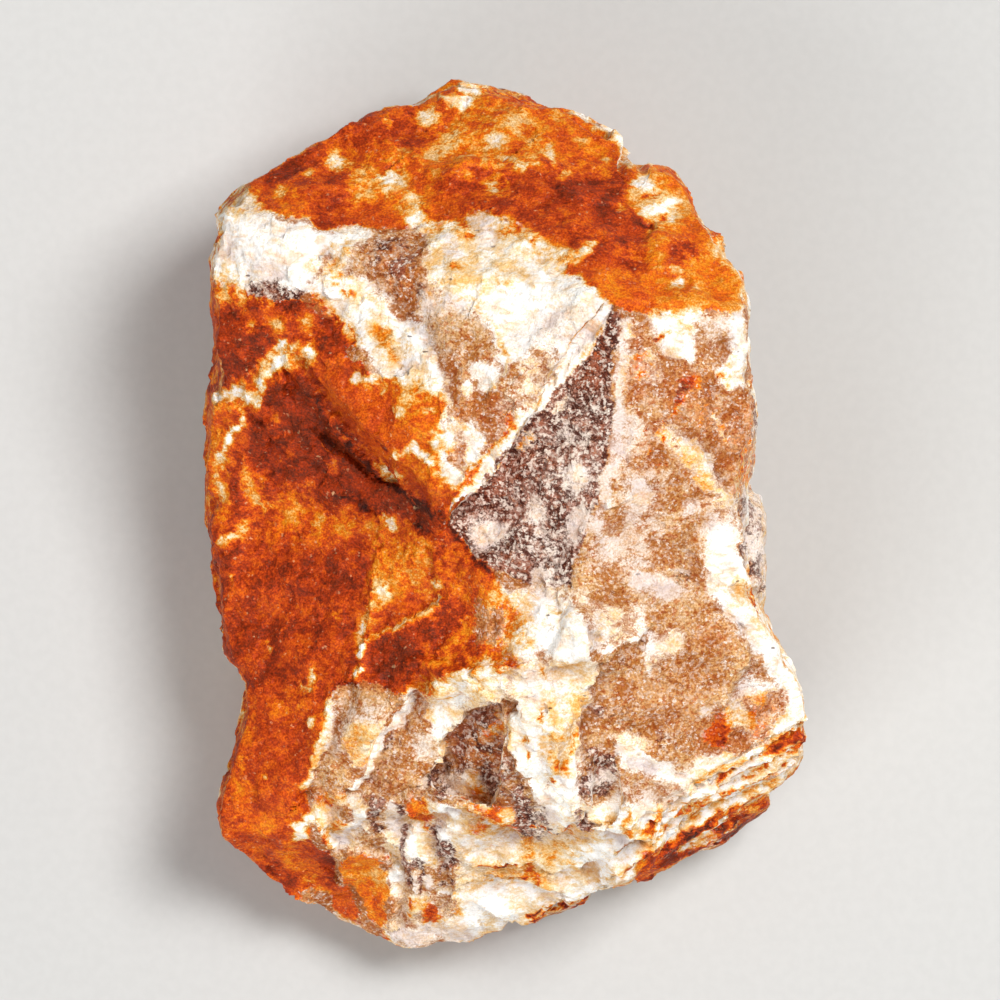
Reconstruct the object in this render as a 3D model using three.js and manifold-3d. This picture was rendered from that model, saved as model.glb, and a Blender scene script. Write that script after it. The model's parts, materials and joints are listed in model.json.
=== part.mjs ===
// Raw orange calcite: one broken lump of massive calcite, lying on its flattest side.
//
// A loft through a foot, a belt and a rim outline gives the lump. Broken faces, each a plane through three corners,
// cut four blocks out of it, and the blocks joined are the stone's top. Knobs and shards are joined on; a hollow,
// layered ledges and chips are cut in, some of them by small cleavage rhombs, since calcite always parts along the
// same three directions. At the end every edge is split to the grain length, the whole skin is bent by smooth
// noise, so that no face is flat and no ridge straight, and the skin is thinned again where it is nearly flat.
//
// Millimetres. +Z is up, +Y runs along the stone towards its crusted end, and the origin is under its middle.
import * as THREE from "three";
import { ConvexGeometry } from "three/addons/geometries/ConvexGeometry.js";
import { LoftGeometry } from "three/addons/geometries/LoftGeometry.js";
import { SimplexNoise } from "three/addons/math/SimplexNoise.js";
import { SimplifyModifier } from "three/addons/modifiers/SimplifyModifier.js";
import { TessellateModifier } from "three/addons/modifiers/TessellateModifier.js";
import { mergeVertices } from "three/addons/utils/BufferGeometryUtils.js";
import Module from "manifold-3d";

// ---------------------------------------------------------------- driving dimensions

const BELT = { height: 10, wander: 5 }; // where the walls are widest
const RIM = { height: 50, lean: 1.5 }; // above every broken face
const GRAIN = 1.7; // longest edge of the skin while it is bent
const SKIN_CORNERS = 4700; // corners left after thinning
const GRID = 4096; // coordinates are kept to 1/4096 mm, so that neighbouring triangles split alike
const REACH = 200; // side of the block of empty space that takes away one side of a face
const FLAT_FOOT = 4; // the bending fades out below this height, so the stone keeps a flat foot

// Bending of the skin, from swells to the rubbed grain of the faces.
const SWELLS = [
  { length: 19, depth: 0.8 },
  { length: 8, depth: 0.45 },
  { length: 3.6, depth: 0.24 },
];

// The stone seen from above, anticlockwise: x, y, and how far the foot lies in from there.
const OUTLINE = [
  [26.1, 10.0, 6], [26.1, 18.5, 5], [25.9, 22.8, 5], [24.9, 25.6, 6], [22.5, 28.1, 7], [19.8, 31.6, 7],
  [18.7, 33.9, 7], [16.1, 35.7, 6], [13.2, 36.3, 5], [12.5, 38.9, 6], [10.4, 41.1, 7], [7.2, 42.7, 8],
  [3.9, 43.1, 7], [0.7, 44.2, 7], [-1.7, 45.0, 7], [-5.3, 45.1, 7], [-8.3, 43.6, 6], [-11.0, 42.9, 6],
  [-16.6, 40.4, 7], [-21.3, 38.2, 8], [-25.4, 35.9, 8], [-28.0, 34.1, 7], [-29.4, 32.0, 6], [-29.5, 29.7, 5],
  [-30.3, 26.6, 5], [-30.4, 22.5, 6], [-30.6, 14.1, 7], [-30.7, 7.9, 8], [-30.9, 1.1, 8], [-30.3, -4.6, 7],
  [-29.5, -9.8, 6], [-29.0, -15.0, 5], [-27.8, -17.2, 4], [-27.5, -20.8, 4], [-28.5, -25.4, 5], [-29.0, -28.5, 6],
  [-29.6, -31.6, 7], [-29.3, -33.5, 7], [-27.6, -34.8, 6], [-25.6, -36.7, 5], [-23.5, -39.3, 5], [-21.3, -41.4, 5],
  [-16.1, -43.5, 6], [-11.8, -45.1, 7], [-6.8, -45.2, 7], [-4.3, -44.0, 6], [-1.6, -43.4, 6], [2.6, -43.3, 6],
  [5.4, -41.6, 5], [9.7, -39.4, 5], [14.6, -36.6, 4], [19.2, -34.0, 4], [24.4, -31.2, 4], [28.1, -29.0, 5],
  [29.6, -27.6, 6], [30.4, -26.0, 7], [30.9, -23.3, 8], [31.1, -20.4, 8], [30.2, -17.0, 8], [28.4, -12.9, 7],
  [26.8, -9.0, 5], [25.6, -3.0, 5], [25.4, 3.4, 5],
];

// Corners where broken faces meet.
const PEAK = [10.7, 21.6, 42]; // highest point: crust, roof and right face
const SHOULDER = [-29.4, 31.3, 27]; // left end of the crusted edge
const SPUR = [-5.2, 0.1, 36]; // overhanging tip of the crown
const VALLEY = [-5.2, -0.9, 30.8]; // under the spur
const KNUCKLE = [8.3, -12.9, 36.5]; // knob in the middle
const BEND = [-0.5, -7.7, 33.2]; // on the rim from the valley to the knuckle
const SILL = [7.5, -7.7, 35.8]; // lower end of the edge between the window and the right face

// ---------------------------------------------------------------- broken faces

// Faces that cut the whole lump: the crusted end, the foot slope, and the undercut sides that it rests between.
const OUTER_FACES = {
  crustLeft: [PEAK, SHOULDER, [-5.2, 45.1, 18]],
  crustRight: [PEAK, [26, 21.5, 38], [13.2, 36.4, 25]],
  footSlope: [[5, -30, 27], [-21, -30, 21.5], [0, -43.5, 9]],
  westUnder: [[-31.4, 20, 11], [-30.8, -10, 7], [-25.5, 6, 0]],
  northWestUnder: [[-24, 37.4, 12], [-31.2, 26, 13], [-21, 24, 0]],
  northUnder: [[4, 44, 8], [-14, 42.4, 11], [-4, 35, 0]],
  northEastUnder: [[26.6, 22, 15], [14, 37.2, 11], [15, 25, 0]],
  eastUnder: [[31.6, -20, 10], [26.2, 8, 13], [21.5, -6, 0]],
  southEastUnder: [[14, -38, 8], [29.5, -29.5, 9], [18, -28, 0]],
  southUnder: [[-14, -46, 9], [6, -43, 5], [-4, -37, 0]],
  southWestUnder: [[-30, -30, 11], [-20, -43.4, 8], [-19, -31, 0]],
};
const HEART = [0, 0, 12]; // a point inside all of them

// Blocks of the top: a point inside the block, and the faces that bound it besides the outer ones. A block's valley
// takes away only what is beyond both of its faces, which meet there in a groove.
const BLOCKS = {
  crown: {
    inside: [-8, 12, 20],
    faces: {
      roof: [PEAK, SHOULDER, SPUR],
      eastCliff: [PEAK, SPUR, [1.4, 6.5, 20]],
    },
    valley: {
      westCliff: [SPUR, [-22.5, 18.5, 31], [-16.5, 4.5, 20]],
      slope: [[-21.3, 17.3, 29.9], VALLEY, [-26.5, 1.7, 19.5]],
    },
  },
  right: {
    inside: [15, 0, 15],
    faces: {
      face: [[11.1, 21.2, 41], SILL, [26, 21.5, 37.6]],
      window: [[11.1, 21.2, 40.5], SILL, [-5.2, -0.9, 29.4]],
      shelf: [[8.3, -12.9, 35], [27, -11, 31], [20, -28, 26.5]],
    },
  },
  left: {
    inside: [-10, -12, 10],
    faces: {
      flank: [BEND, [-30.8, 1.1, 17], [-21.3, -29.5, 21]],
      rim: [VALLEY, KNUCKLE, [4.5, -4.5, 28]],
      brow: [KNUCKLE, [-6, -17.5, 30.2], [3, -30, 26]],
      crease: [[8.8, -18.1, 33], [7.8, -32.7, 25], [10.5, -25, 20]],
    },
  },
};

// ---------------------------------------------------------------- lumps joined on, by their corners

const LUMPS = {
  knuckle: [
    [2.6, -10.4, 31], [8.0, -7.6, 34], [13.4, -11.0, 33], [13.0, -17.0, 31], [7.4, -19.6, 30],
    [1.8, -15.4, 31], [6.8, -11.6, 37.8], [9.4, -12.0, 38.2], [9.0, -15.0, 37.4], [5.4, -14.2, 36.8],
  ],
  dome: [
    [0.0, -18.4, 28], [7.6, -18.2, 32], [7.9, -30.0, 25], [1.4, -30.6, 24], [-0.8, -24.4, 26],
    [2.6, -20.8, 33.2], [6.0, -22.4, 34.0], [5.6, -27.2, 31.2], [2.8, -26.4, 31.0],
  ],
  rib: [
    [-13.0, -19.0, 24], [-10.8, -15.2, 28.0], [-6.2, -16.4, 31.2], [0.4, -15.6, 34.0], [4.6, -15.8, 34.8],
    [-2.6, -19.2, 30.6], [-8.0, -19.6, 28.6], [4.0, -19.6, 31.0], [-4, -17.5, 24],
  ],
  sideKnob: [
    [23.6, 4.0, 11], [26.9, 2.4, 13], [27.7, -4.4, 12], [27.1, -9.6, 14], [23.6, -10.4, 11],
    [24.2, 2.6, 25], [26.7, 0.4, 22], [27.2, -6.4, 23], [24.0, -9.4, 27],
  ],
  lowerLedge: [
    [13.6, -38.7, 6.5], [19.5, -36.0, 5.0], [28.9, -31.4, 6.0], [15.0, -36.9, 11.0], [21.0, -34.8, 10.0],
    [27.6, -30.4, 12.0], [14.0, -33.0, 3.5], [26.0, -26.0, 3.5], [14.0, -33.0, 14.0], [26.0, -26.0, 15.0],
  ],
  toe: [
    [2.6, -43.6, 5.0], [6.4, -42.4, 4.5], [9.6, -40.2, 5.0], [4.2, -42.0, 9.4], [8.0, -39.6, 9.8],
    [1.0, -38.0, 3.5], [9.0, -35.0, 3.5], [5.0, -38.0, 12.0],
  ],
  crustBoss: [
    [12.0, 23.0, 38], [24.0, 22.4, 34], [22.4, 29.4, 28], [14.0, 32.6, 26], [17.0, 26.0, 37.2],
    [21.4, 25.0, 35.6], [16.0, 30.4, 32.6],
  ],
  crustSwell: [
    [-14.0, 37.0, 20], [-2.0, 41.0, 18], [4.0, 36.0, 24], [-4.0, 30.0, 30], [-13.0, 31.0, 27],
    [-7.0, 36.0, 27.4], [-1.6, 36.4, 28.0],
  ],
};

// ---------------------------------------------------------------- hollows and chips cut in, by their corners

const HOLLOWS = {
  upperStep: [
    [-11.4, -19.2, 25.0], [-16.6, -28.4, 21.6], [-9.0, -29.6, 22.6], [-2.4, -19.8, 27.0],
    [-11.4, -19.2, 40], [-16.6, -28.4, 40], [-9.0, -29.6, 40], [-2.4, -19.8, 40],
  ],
  deepStep: [
    [-4.0, -19.4, 26.6], [-8.6, -28.6, 21.6], [-1.6, -30.4, 22.0], [1.2, -24.0, 26.0], [0.4, -19.6, 28.0],
    [-4.0, -19.4, 40], [-8.6, -28.6, 40], [-1.6, -30.4, 40], [0.8, -19.6, 40],
  ],
  pocket: [
    [9.2, -23.6, 31.0], [12.6, -26.4, 28.6], [11.6, -31.8, 24.0], [8.6, -31.6, 24.6], [10.2, -28.4, 25.4],
    [9.2, -23.6, 40], [13.2, -26.4, 40], [12.0, -31.8, 40], [8.6, -31.6, 40],
  ],
  saddle: [
    [-30, -40.0, 16.5], [-8, -41.4, 11.5], [-8.6, -33.6, 19.0], [-22, -33.4, 19.0], [-19, -50, 9],
    [-30, -33, 40], [-6, -50, 40], [-8, -33, 40], [-30, -50, 40],
  ],
  crustNotch: [
    [11.6, 39.2, 12], [14.4, 35.2, 14], [10.6, 34.6, 28.6], [13.4, 33.6, 28.8], [16.6, 40.0, 10],
    [12.2, 38.8, 40], [15.4, 37.4, 40],
  ],
  leftNotch: [
    [-32.0, -13.4, 8], [-27.2, -17.4, 12], [-32.0, -23.4, 8], [-27.0, -18.4, 24], [-32.0, -15.0, 30],
    [-32.0, -21.6, 30],
  ],
  crackedStep: [
    [-24.5, 17.0, 27.4], [-13.6, 4.4, 28.6], [-8.6, 0.6, 29.0], [-12.2, 0.4, 25.4], [-22.4, 10.0, 24.4],
    [-16, 9.4, 34], [-22, 14, 34],
  ],
};

// Layered breaks on the steep lower right side, as a flight of steps: how far out each tread ends, and its height.
const STRATA = {
  end: [44.3, -12.0],
  bearing: THREE.MathUtils.degToRad(32.6),
  length: 42,
  steps: [[0.9, 25.2], [2.1, 24.0], [2.9, 20.6], [3.8, 20.0], [4.5, 16.6], [5.3, 15.6], [5.9, 12.4]],
};

// Cleavage rhombs nicked out of the walls. Their edges all run in the crystal's own three directions.
const CLEAVAGE = [
  new THREE.Vector3(0.58, 0.8, 0.12).normalize(),
  new THREE.Vector3(-0.72, 0.62, -0.3).normalize(),
  new THREE.Vector3(0.24, -0.06, 0.97).normalize(),
];
const NICKS = { count: 34, smallest: 3.5, largest: 9, bite: 1.3 };

// ---------------------------------------------------------------- solids

const wasm = await Module();
wasm.setup();

const vector = ([x, y, z]) => new THREE.Vector3(x, y, z);

function solid(geometry) {
  const bare = new THREE.BufferGeometry().copy(geometry);
  bare.deleteAttribute("normal");
  bare.deleteAttribute("uv");
  const merged = mergeVertices(bare, 1 / GRID);
  return new wasm.Manifold(
    new wasm.Mesh({
      numProp: 3,
      vertProperties: new Float32Array(merged.attributes.position.array),
      triVerts: new Uint32Array(merged.index.array),
    }),
  );
}

const hull = (corners) => solid(new ConvexGeometry(corners.map(vector)));

// The empty space beyond a broken face, seen from a point inside the stone.
function beyond(face, inside) {
  const plane = new THREE.Plane().setFromCoplanarPoints(...face.map(vector));
  if (plane.distanceToPoint(vector(inside)) > 0) plane.negate();
  const start = plane.projectPoint(vector(inside), new THREE.Vector3());
  const space = new THREE.BoxGeometry(REACH, REACH, REACH);
  space.translate(0, 0, REACH / 2);
  space.applyQuaternion(new THREE.Quaternion().setFromUnitVectors(new THREE.Vector3(0, 0, 1), plane.normal));
  space.translate(...start);
  return solid(space);
}

const broken = (block, faces, inside) =>
  Object.values(faces).reduce((rest, face) => rest.subtract(beyond(face, inside)), block);

function lump(noise) {
  const ring = (height, lean) =>
    OUTLINE.map((corner) => {
      const [x, y] = corner;
      const inward = new THREE.Vector2(-x, -y).setLength(lean(corner));
      return new THREE.Vector3(x + inward.x, y + inward.y, height(corner));
    });
  const foot = ring(() => 0, ([, , lean]) => lean);
  const belt = ring(([x, y]) => BELT.height + BELT.wander * noise.noise3d(x / 16, y / 16, 3), () => 0);
  const rim = ring(() => RIM.height, () => RIM.lean);
  return solid(new LoftGeometry([foot, belt, rim], { capStart: true, capEnd: true }));
}

// Everything outside the flight of steps, on the side away from the stone.
function strataCut() {
  const { end, bearing, length, steps } = STRATA;
  const profile = new THREE.Shape().moveTo(0, 60);
  let tread = 0;
  for (const [out, height] of steps) {
    profile.lineTo(tread, height + (out - tread) * 0.6);
    profile.lineTo(out, height);
    tread = out;
  }
  profile.lineTo(steps.at(-1)[0] + 2, 7).lineTo(30, 7).lineTo(30, 60).closePath();
  const cut = new THREE.ExtrudeGeometry(profile, { depth: length, bevelEnabled: false });
  const back = new THREE.Vector3(-Math.cos(bearing), -Math.sin(bearing), 0);
  const outward = new THREE.Vector3(Math.sin(bearing), -Math.cos(bearing), 0);
  cut.applyMatrix4(new THREE.Matrix4().makeBasis(outward, new THREE.Vector3(0, 0, 1), back));
  cut.translate(...end, 0);
  return solid(cut);
}

function cleavageNick(random) {
  const between = (low, high) => low + (high - low) * random();
  const [x, y] = OUTLINE[Math.floor(random() * OUTLINE.length)];
  const size = [0, 1, 2].map(() => between(NICKS.smallest, NICKS.largest));
  const rhomb = new THREE.BoxGeometry(...size);
  rhomb.applyMatrix4(new THREE.Matrix4().makeBasis(...CLEAVAGE));
  rhomb.computeBoundingBox();
  const outward = new THREE.Vector3(x, y, 0).normalize();
  const reach = Math.max(...size) / 2;
  const place = new THREE.Vector3(x, y, between(7, 26)).addScaledVector(outward, reach - NICKS.bite);
  rhomb.translate(...place);
  return solid(rhomb);
}

function block({ inside, faces, valley }) {
  const space = new THREE.BoxGeometry(REACH, REACH, REACH);
  const cut = broken(solid(space), faces, inside);
  if (!valley) return cut;
  const [oneSide, otherSide] = Object.values(valley).map((face) => beyond(face, inside));
  return cut.subtract(oneSide.intersect(otherSide));
}

function stone(noise, random) {
  const top = Object.values(BLOCKS).map(block).reduce((joined, next) => joined.add(next));
  let made = broken(lump(noise), OUTER_FACES, HEART).intersect(top);
  made = made.subtract(strataCut());
  for (let i = 0; i < NICKS.count; i++) made = made.subtract(cleavageNick(random));
  for (const corners of Object.values(LUMPS)) made = made.add(hull(corners));
  for (const corners of Object.values(HOLLOWS)) made = made.subtract(hull(corners));
  return made;
}

// ---------------------------------------------------------------- skin

function geometryOf(made) {
  const { vertProperties, triVerts } = made.getMesh();
  const geometry = new THREE.BufferGeometry();
  const positions = vertProperties.map((value) => Math.round(value * GRID) / GRID);
  geometry.setAttribute("position", new THREE.BufferAttribute(positions, 3));
  geometry.setIndex(new THREE.BufferAttribute(triVerts, 1));
  return geometry;
}

// Equal corners become one, and the triangles that this flattens to a line are dropped.
function welded(geometry) {
  const merged = mergeVertices(geometry, 1e-6);
  const index = merged.index.array;
  const kept = [];
  for (let i = 0; i < index.length; i += 3) {
    const [a, b, c] = index.subarray(i, i + 3);
    if (a !== b && b !== c && c !== a) kept.push(a, b, c);
  }
  merged.setIndex(kept);
  return merged;
}

function bend(skin, noise) {
  const position = skin.attributes.position;
  const point = new THREE.Vector3();
  for (let i = 0; i < position.count; i++) {
    point.fromBufferAttribute(position, i);
    const amount = THREE.MathUtils.smoothstep(point.z, 0, FLAT_FOOT);
    for (const { length, depth } of SWELLS) {
      const [u, v, w] = point.toArray().map((value) => value / length);
      point.x += depth * amount * noise.noise3d(u, v, w);
      point.y += depth * amount * noise.noise3d(u + 31, v, w);
      point.z += depth * amount * noise.noise3d(u, v + 57, w);
    }
    position.setXYZ(i, ...point);
  }
}

// The stone's middle comes over the origin and its foot stays at height 0.
function centred(geometry) {
  geometry.computeBoundingBox();
  const middle = geometry.boundingBox.getCenter(new THREE.Vector3());
  return geometry.translate(-middle.x, -middle.y, 0);
}

async function weathered(made, noise) {
  const skin = welded(new TessellateModifier(GRAIN, 14).modify(geometryOf(made)));
  bend(skin, noise);
  const thinned = await new SimplifyModifier().modify(skin, skin.attributes.position.count - SKIN_CORNERS);
  thinned.computeVertexNormals();
  return centred(thinned);
}

THREE.MathUtils.seededRandom(7);
const random = THREE.MathUtils.seededRandom;
const noise = new SimplexNoise({ random });
const calcite = new THREE.Mesh(
  await weathered(stone(noise, random), noise),
  new THREE.MeshStandardMaterial({ color: 0xd9772b, roughness: 0.6, metalness: 0 }),
);
calcite.name = "calcite_stone";

const group = new THREE.Group();
group.add(calcite);

export default group;
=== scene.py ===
"""Raw orange calcite: the finished skin of one broken lump, and the plain stage that it is shown on.

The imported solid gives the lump's form. A copy of it gets an even, fine skin, which is stained with the
stone's minerals, weathered mineral by mineral, and shaded by one procedural material. Seen from above,
+Y is the crusted end. Lengths in the maps below are millimetres in the stone's own frame; everything in
the scene itself is in metres.
"""

import itertools
import json
import math
from collections import namedtuple

import bpy
import numpy as np
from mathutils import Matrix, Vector
from mathutils.bvhtree import BVHTree

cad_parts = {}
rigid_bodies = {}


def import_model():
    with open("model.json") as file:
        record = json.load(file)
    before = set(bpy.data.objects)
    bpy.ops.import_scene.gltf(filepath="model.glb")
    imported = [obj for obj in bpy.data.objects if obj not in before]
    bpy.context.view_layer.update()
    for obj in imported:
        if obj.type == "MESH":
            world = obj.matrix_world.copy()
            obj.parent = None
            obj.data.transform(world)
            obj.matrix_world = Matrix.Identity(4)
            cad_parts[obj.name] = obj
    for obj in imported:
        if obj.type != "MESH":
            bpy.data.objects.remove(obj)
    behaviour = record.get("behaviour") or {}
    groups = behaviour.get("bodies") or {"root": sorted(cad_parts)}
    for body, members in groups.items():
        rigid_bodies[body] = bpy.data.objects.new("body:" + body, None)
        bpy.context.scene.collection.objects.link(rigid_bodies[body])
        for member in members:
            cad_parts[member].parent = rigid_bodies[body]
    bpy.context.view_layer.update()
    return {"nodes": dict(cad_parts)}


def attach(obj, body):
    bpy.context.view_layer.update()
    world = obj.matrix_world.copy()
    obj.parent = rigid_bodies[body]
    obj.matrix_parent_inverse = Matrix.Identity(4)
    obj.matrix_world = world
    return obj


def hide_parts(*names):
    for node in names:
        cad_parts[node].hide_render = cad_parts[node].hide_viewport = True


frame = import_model()

bl_info = {
    "name": "Raw orange calcite",
    "version": (1, 0, 0),
    "blender": (4, 5, 0),
    "location": "3D View > Sidebar > Calcite",
    "description": "Finishes a lump of raw orange calcite and sets it on a plain stage",
    "category": "Object",
}

MM = 0.001
STONE_NODE = "calcite_stone"


def srgb(*channels):
    """A colour given as it looks, from 0 to 255, as the linear values that shaders use."""
    shares = [channel / 255 for channel in channels]
    return tuple(
        share / 12.92 if share < 0.0404 else ((share + 0.055) / 1.055) ** 2.4 for share in shares
    )


# ---------------------------------------------------------------- minerals

# Each mineral: how deep iron has stained it, from 0 for white to 1 for nearly black; how much that depth
# varies; how densely pale specks stand in it, partly sugary grains and partly painted glints; and how it
# breaks: the depth of its facets, of its grain and of its lumps, in millimetres. The clear ones have no
# depth of stain. The first is the body of the stone.
Mineral = namedtuple("Mineral", "iron mottle sugar facets grain lumps")
MINERALS = {
    "honey": Mineral(None, 0, 0.56, 0.20, 0.04, 0.03),
    "smoke": Mineral(None, 0, 0.6, 0.30, 0.08, 0.03),
    "rind": Mineral(0.65, 0.05, 0.0, 0.16, 0.09, 0.09),
    "rust": Mineral(0.85, 0.04, 0.0, 0.28, 0.11, 0.12),
    "umber": Mineral(1.0, 0.08, 0.0, 0.30, 0.12, 0.14),
    "ochre": Mineral(0.50, 0.05, 0.0, 0.18, 0.10, 0.09),
    "straw": Mineral(0.35, 0.06, 0.0, 0.28, 0.08, 0.05),
    "cream": Mineral(0.20, 0.08, 0.06, 0.30, 0.05, 0.03),
    "lilac": Mineral(0.06, 0.07, 0.16, 0.28, 0.04, 0.03),
    "chalk": Mineral(0.03, 0.09, 0.0, 0.26, 0.04, 0.03),
}
NAMES = list(MINERALS)
CLEAR = [name for name in NAMES if MINERALS[name].iron is None]
STAINED = [name for name in NAMES if MINERALS[name].iron is not None]

# A stain: its mineral, how much it covers, its half width (0 for a closed patch), how soft its border is,
# how far it stands out of the skin, and its points in the XY plane.
Stain = namedtuple("Stain", "mineral cover width border lift points")


def pairs(numbers):
    """Numbers taken two by two, as points."""
    return tuple(zip(numbers[::2], numbers[1::2]))


def patch(mineral, cover, *numbers, border=1.4, lift=0.0):
    """A closed patch with its corners at the points."""
    return Stain(mineral, cover, 0, border, lift, pairs(numbers))


def patches(covers, *numbers, border=1.4):
    """One outline that is stained with several minerals in turn, each with its own cover."""
    return [patch(mineral, cover, *numbers, border=border) for mineral, cover in covers.items()]


def vein(mineral, cover, width, *numbers, lift=0.0):
    """A band along the points, with the width on either side of them."""
    return Stain(mineral, cover, width, max(width, 0.5), lift, pairs(numbers))


def crack(mineral, cover, *numbers):
    """A hair crack along the points, sunk a little into the skin."""
    return Stain(mineral, cover, 0.14, 0.3, -0.15, pairs(numbers))


def spots(mineral, cover, radius, *numbers, lift=0.0):
    """A round spot at each of the points."""
    border = max(1.2 * radius, 0.5)
    return [Stain(mineral, cover, radius, border, lift, (point,)) for point in pairs(numbers)]


# What lies under all the rest: the large fields of colour.
FIELDS = [
    patch("rind", 0.95, -34, 24, -22, 23, -16, 16, -12, 12, -6.5, 11, -5, 0, 0, -8, 2, -12, -2, -17,
          -8, -19, -16.6, -18.4, -18, -22, -20.6, -28.6, -20, -34, -17.6, -38, -12, -48, -34, -42),
    patch("rust", 0.42, -34, 24, -22, 23, -16, 16, -8, 3, -3, -3, -4, -9, -10, -18, -18, -20, -30, -20,
          -36, -10, border=3),
    patch("rust", 0.12, -18, -20, -21, -30, -18, -38, -24, -45, -36, -40, -34, -20, border=3),
    patch("chalk", 0.78, -17.3, 26.9, -14.3, 28.6, -9.7, 29.3, -3.7, 30.7, 2, 30.1, 5, 27.5, 7.4, 27.1,
          6.6, 24.5, 9.4, 23.5, 10.8, 21.3, 8.2, 16.3, 3.4, 10.6, -2.4, 3, -5, 0.4, -6.6, 5.2, -6.2, 10.6,
          -12.7, 13, -14, 15.8, -16.5, 18.6, -18.5, 21.5, -20.5, 22.7),
    patch("cream", 0.4, -17.3, 26.9, -9.7, 29.3, 2, 30.1, 7.4, 27.1, 4, 22, -2, 22, -6, 16, -6, 11, -16, 18,
          -20, 23),
    patch("cream", 0.7, -17, -43, -12, -47, -4, -47, 3, -45, 15, -38, 13, -31, 8, -30, 1, -31, -8, -30,
          -14, -29, -20, -30, -18.6, -35, -12, -35.6, -11, -41),
    patch("chalk", 0.85, 22.5, -23, 26, -13, 29, -12, 35, -22, 30, -30, 14, -36, 10, -37, 10, -31,
          19, -27.5),
    patch("straw", 0.3, -12, -36, -4, -33, 6, -34.6, 12, -32, 14, -38, 3, -40, -8, -40, border=3),
    patch("cream", 0.4, 20, -24, 27, -22, 31, -20, 34, -28, 14, -36, 12, -32),
]

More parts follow.
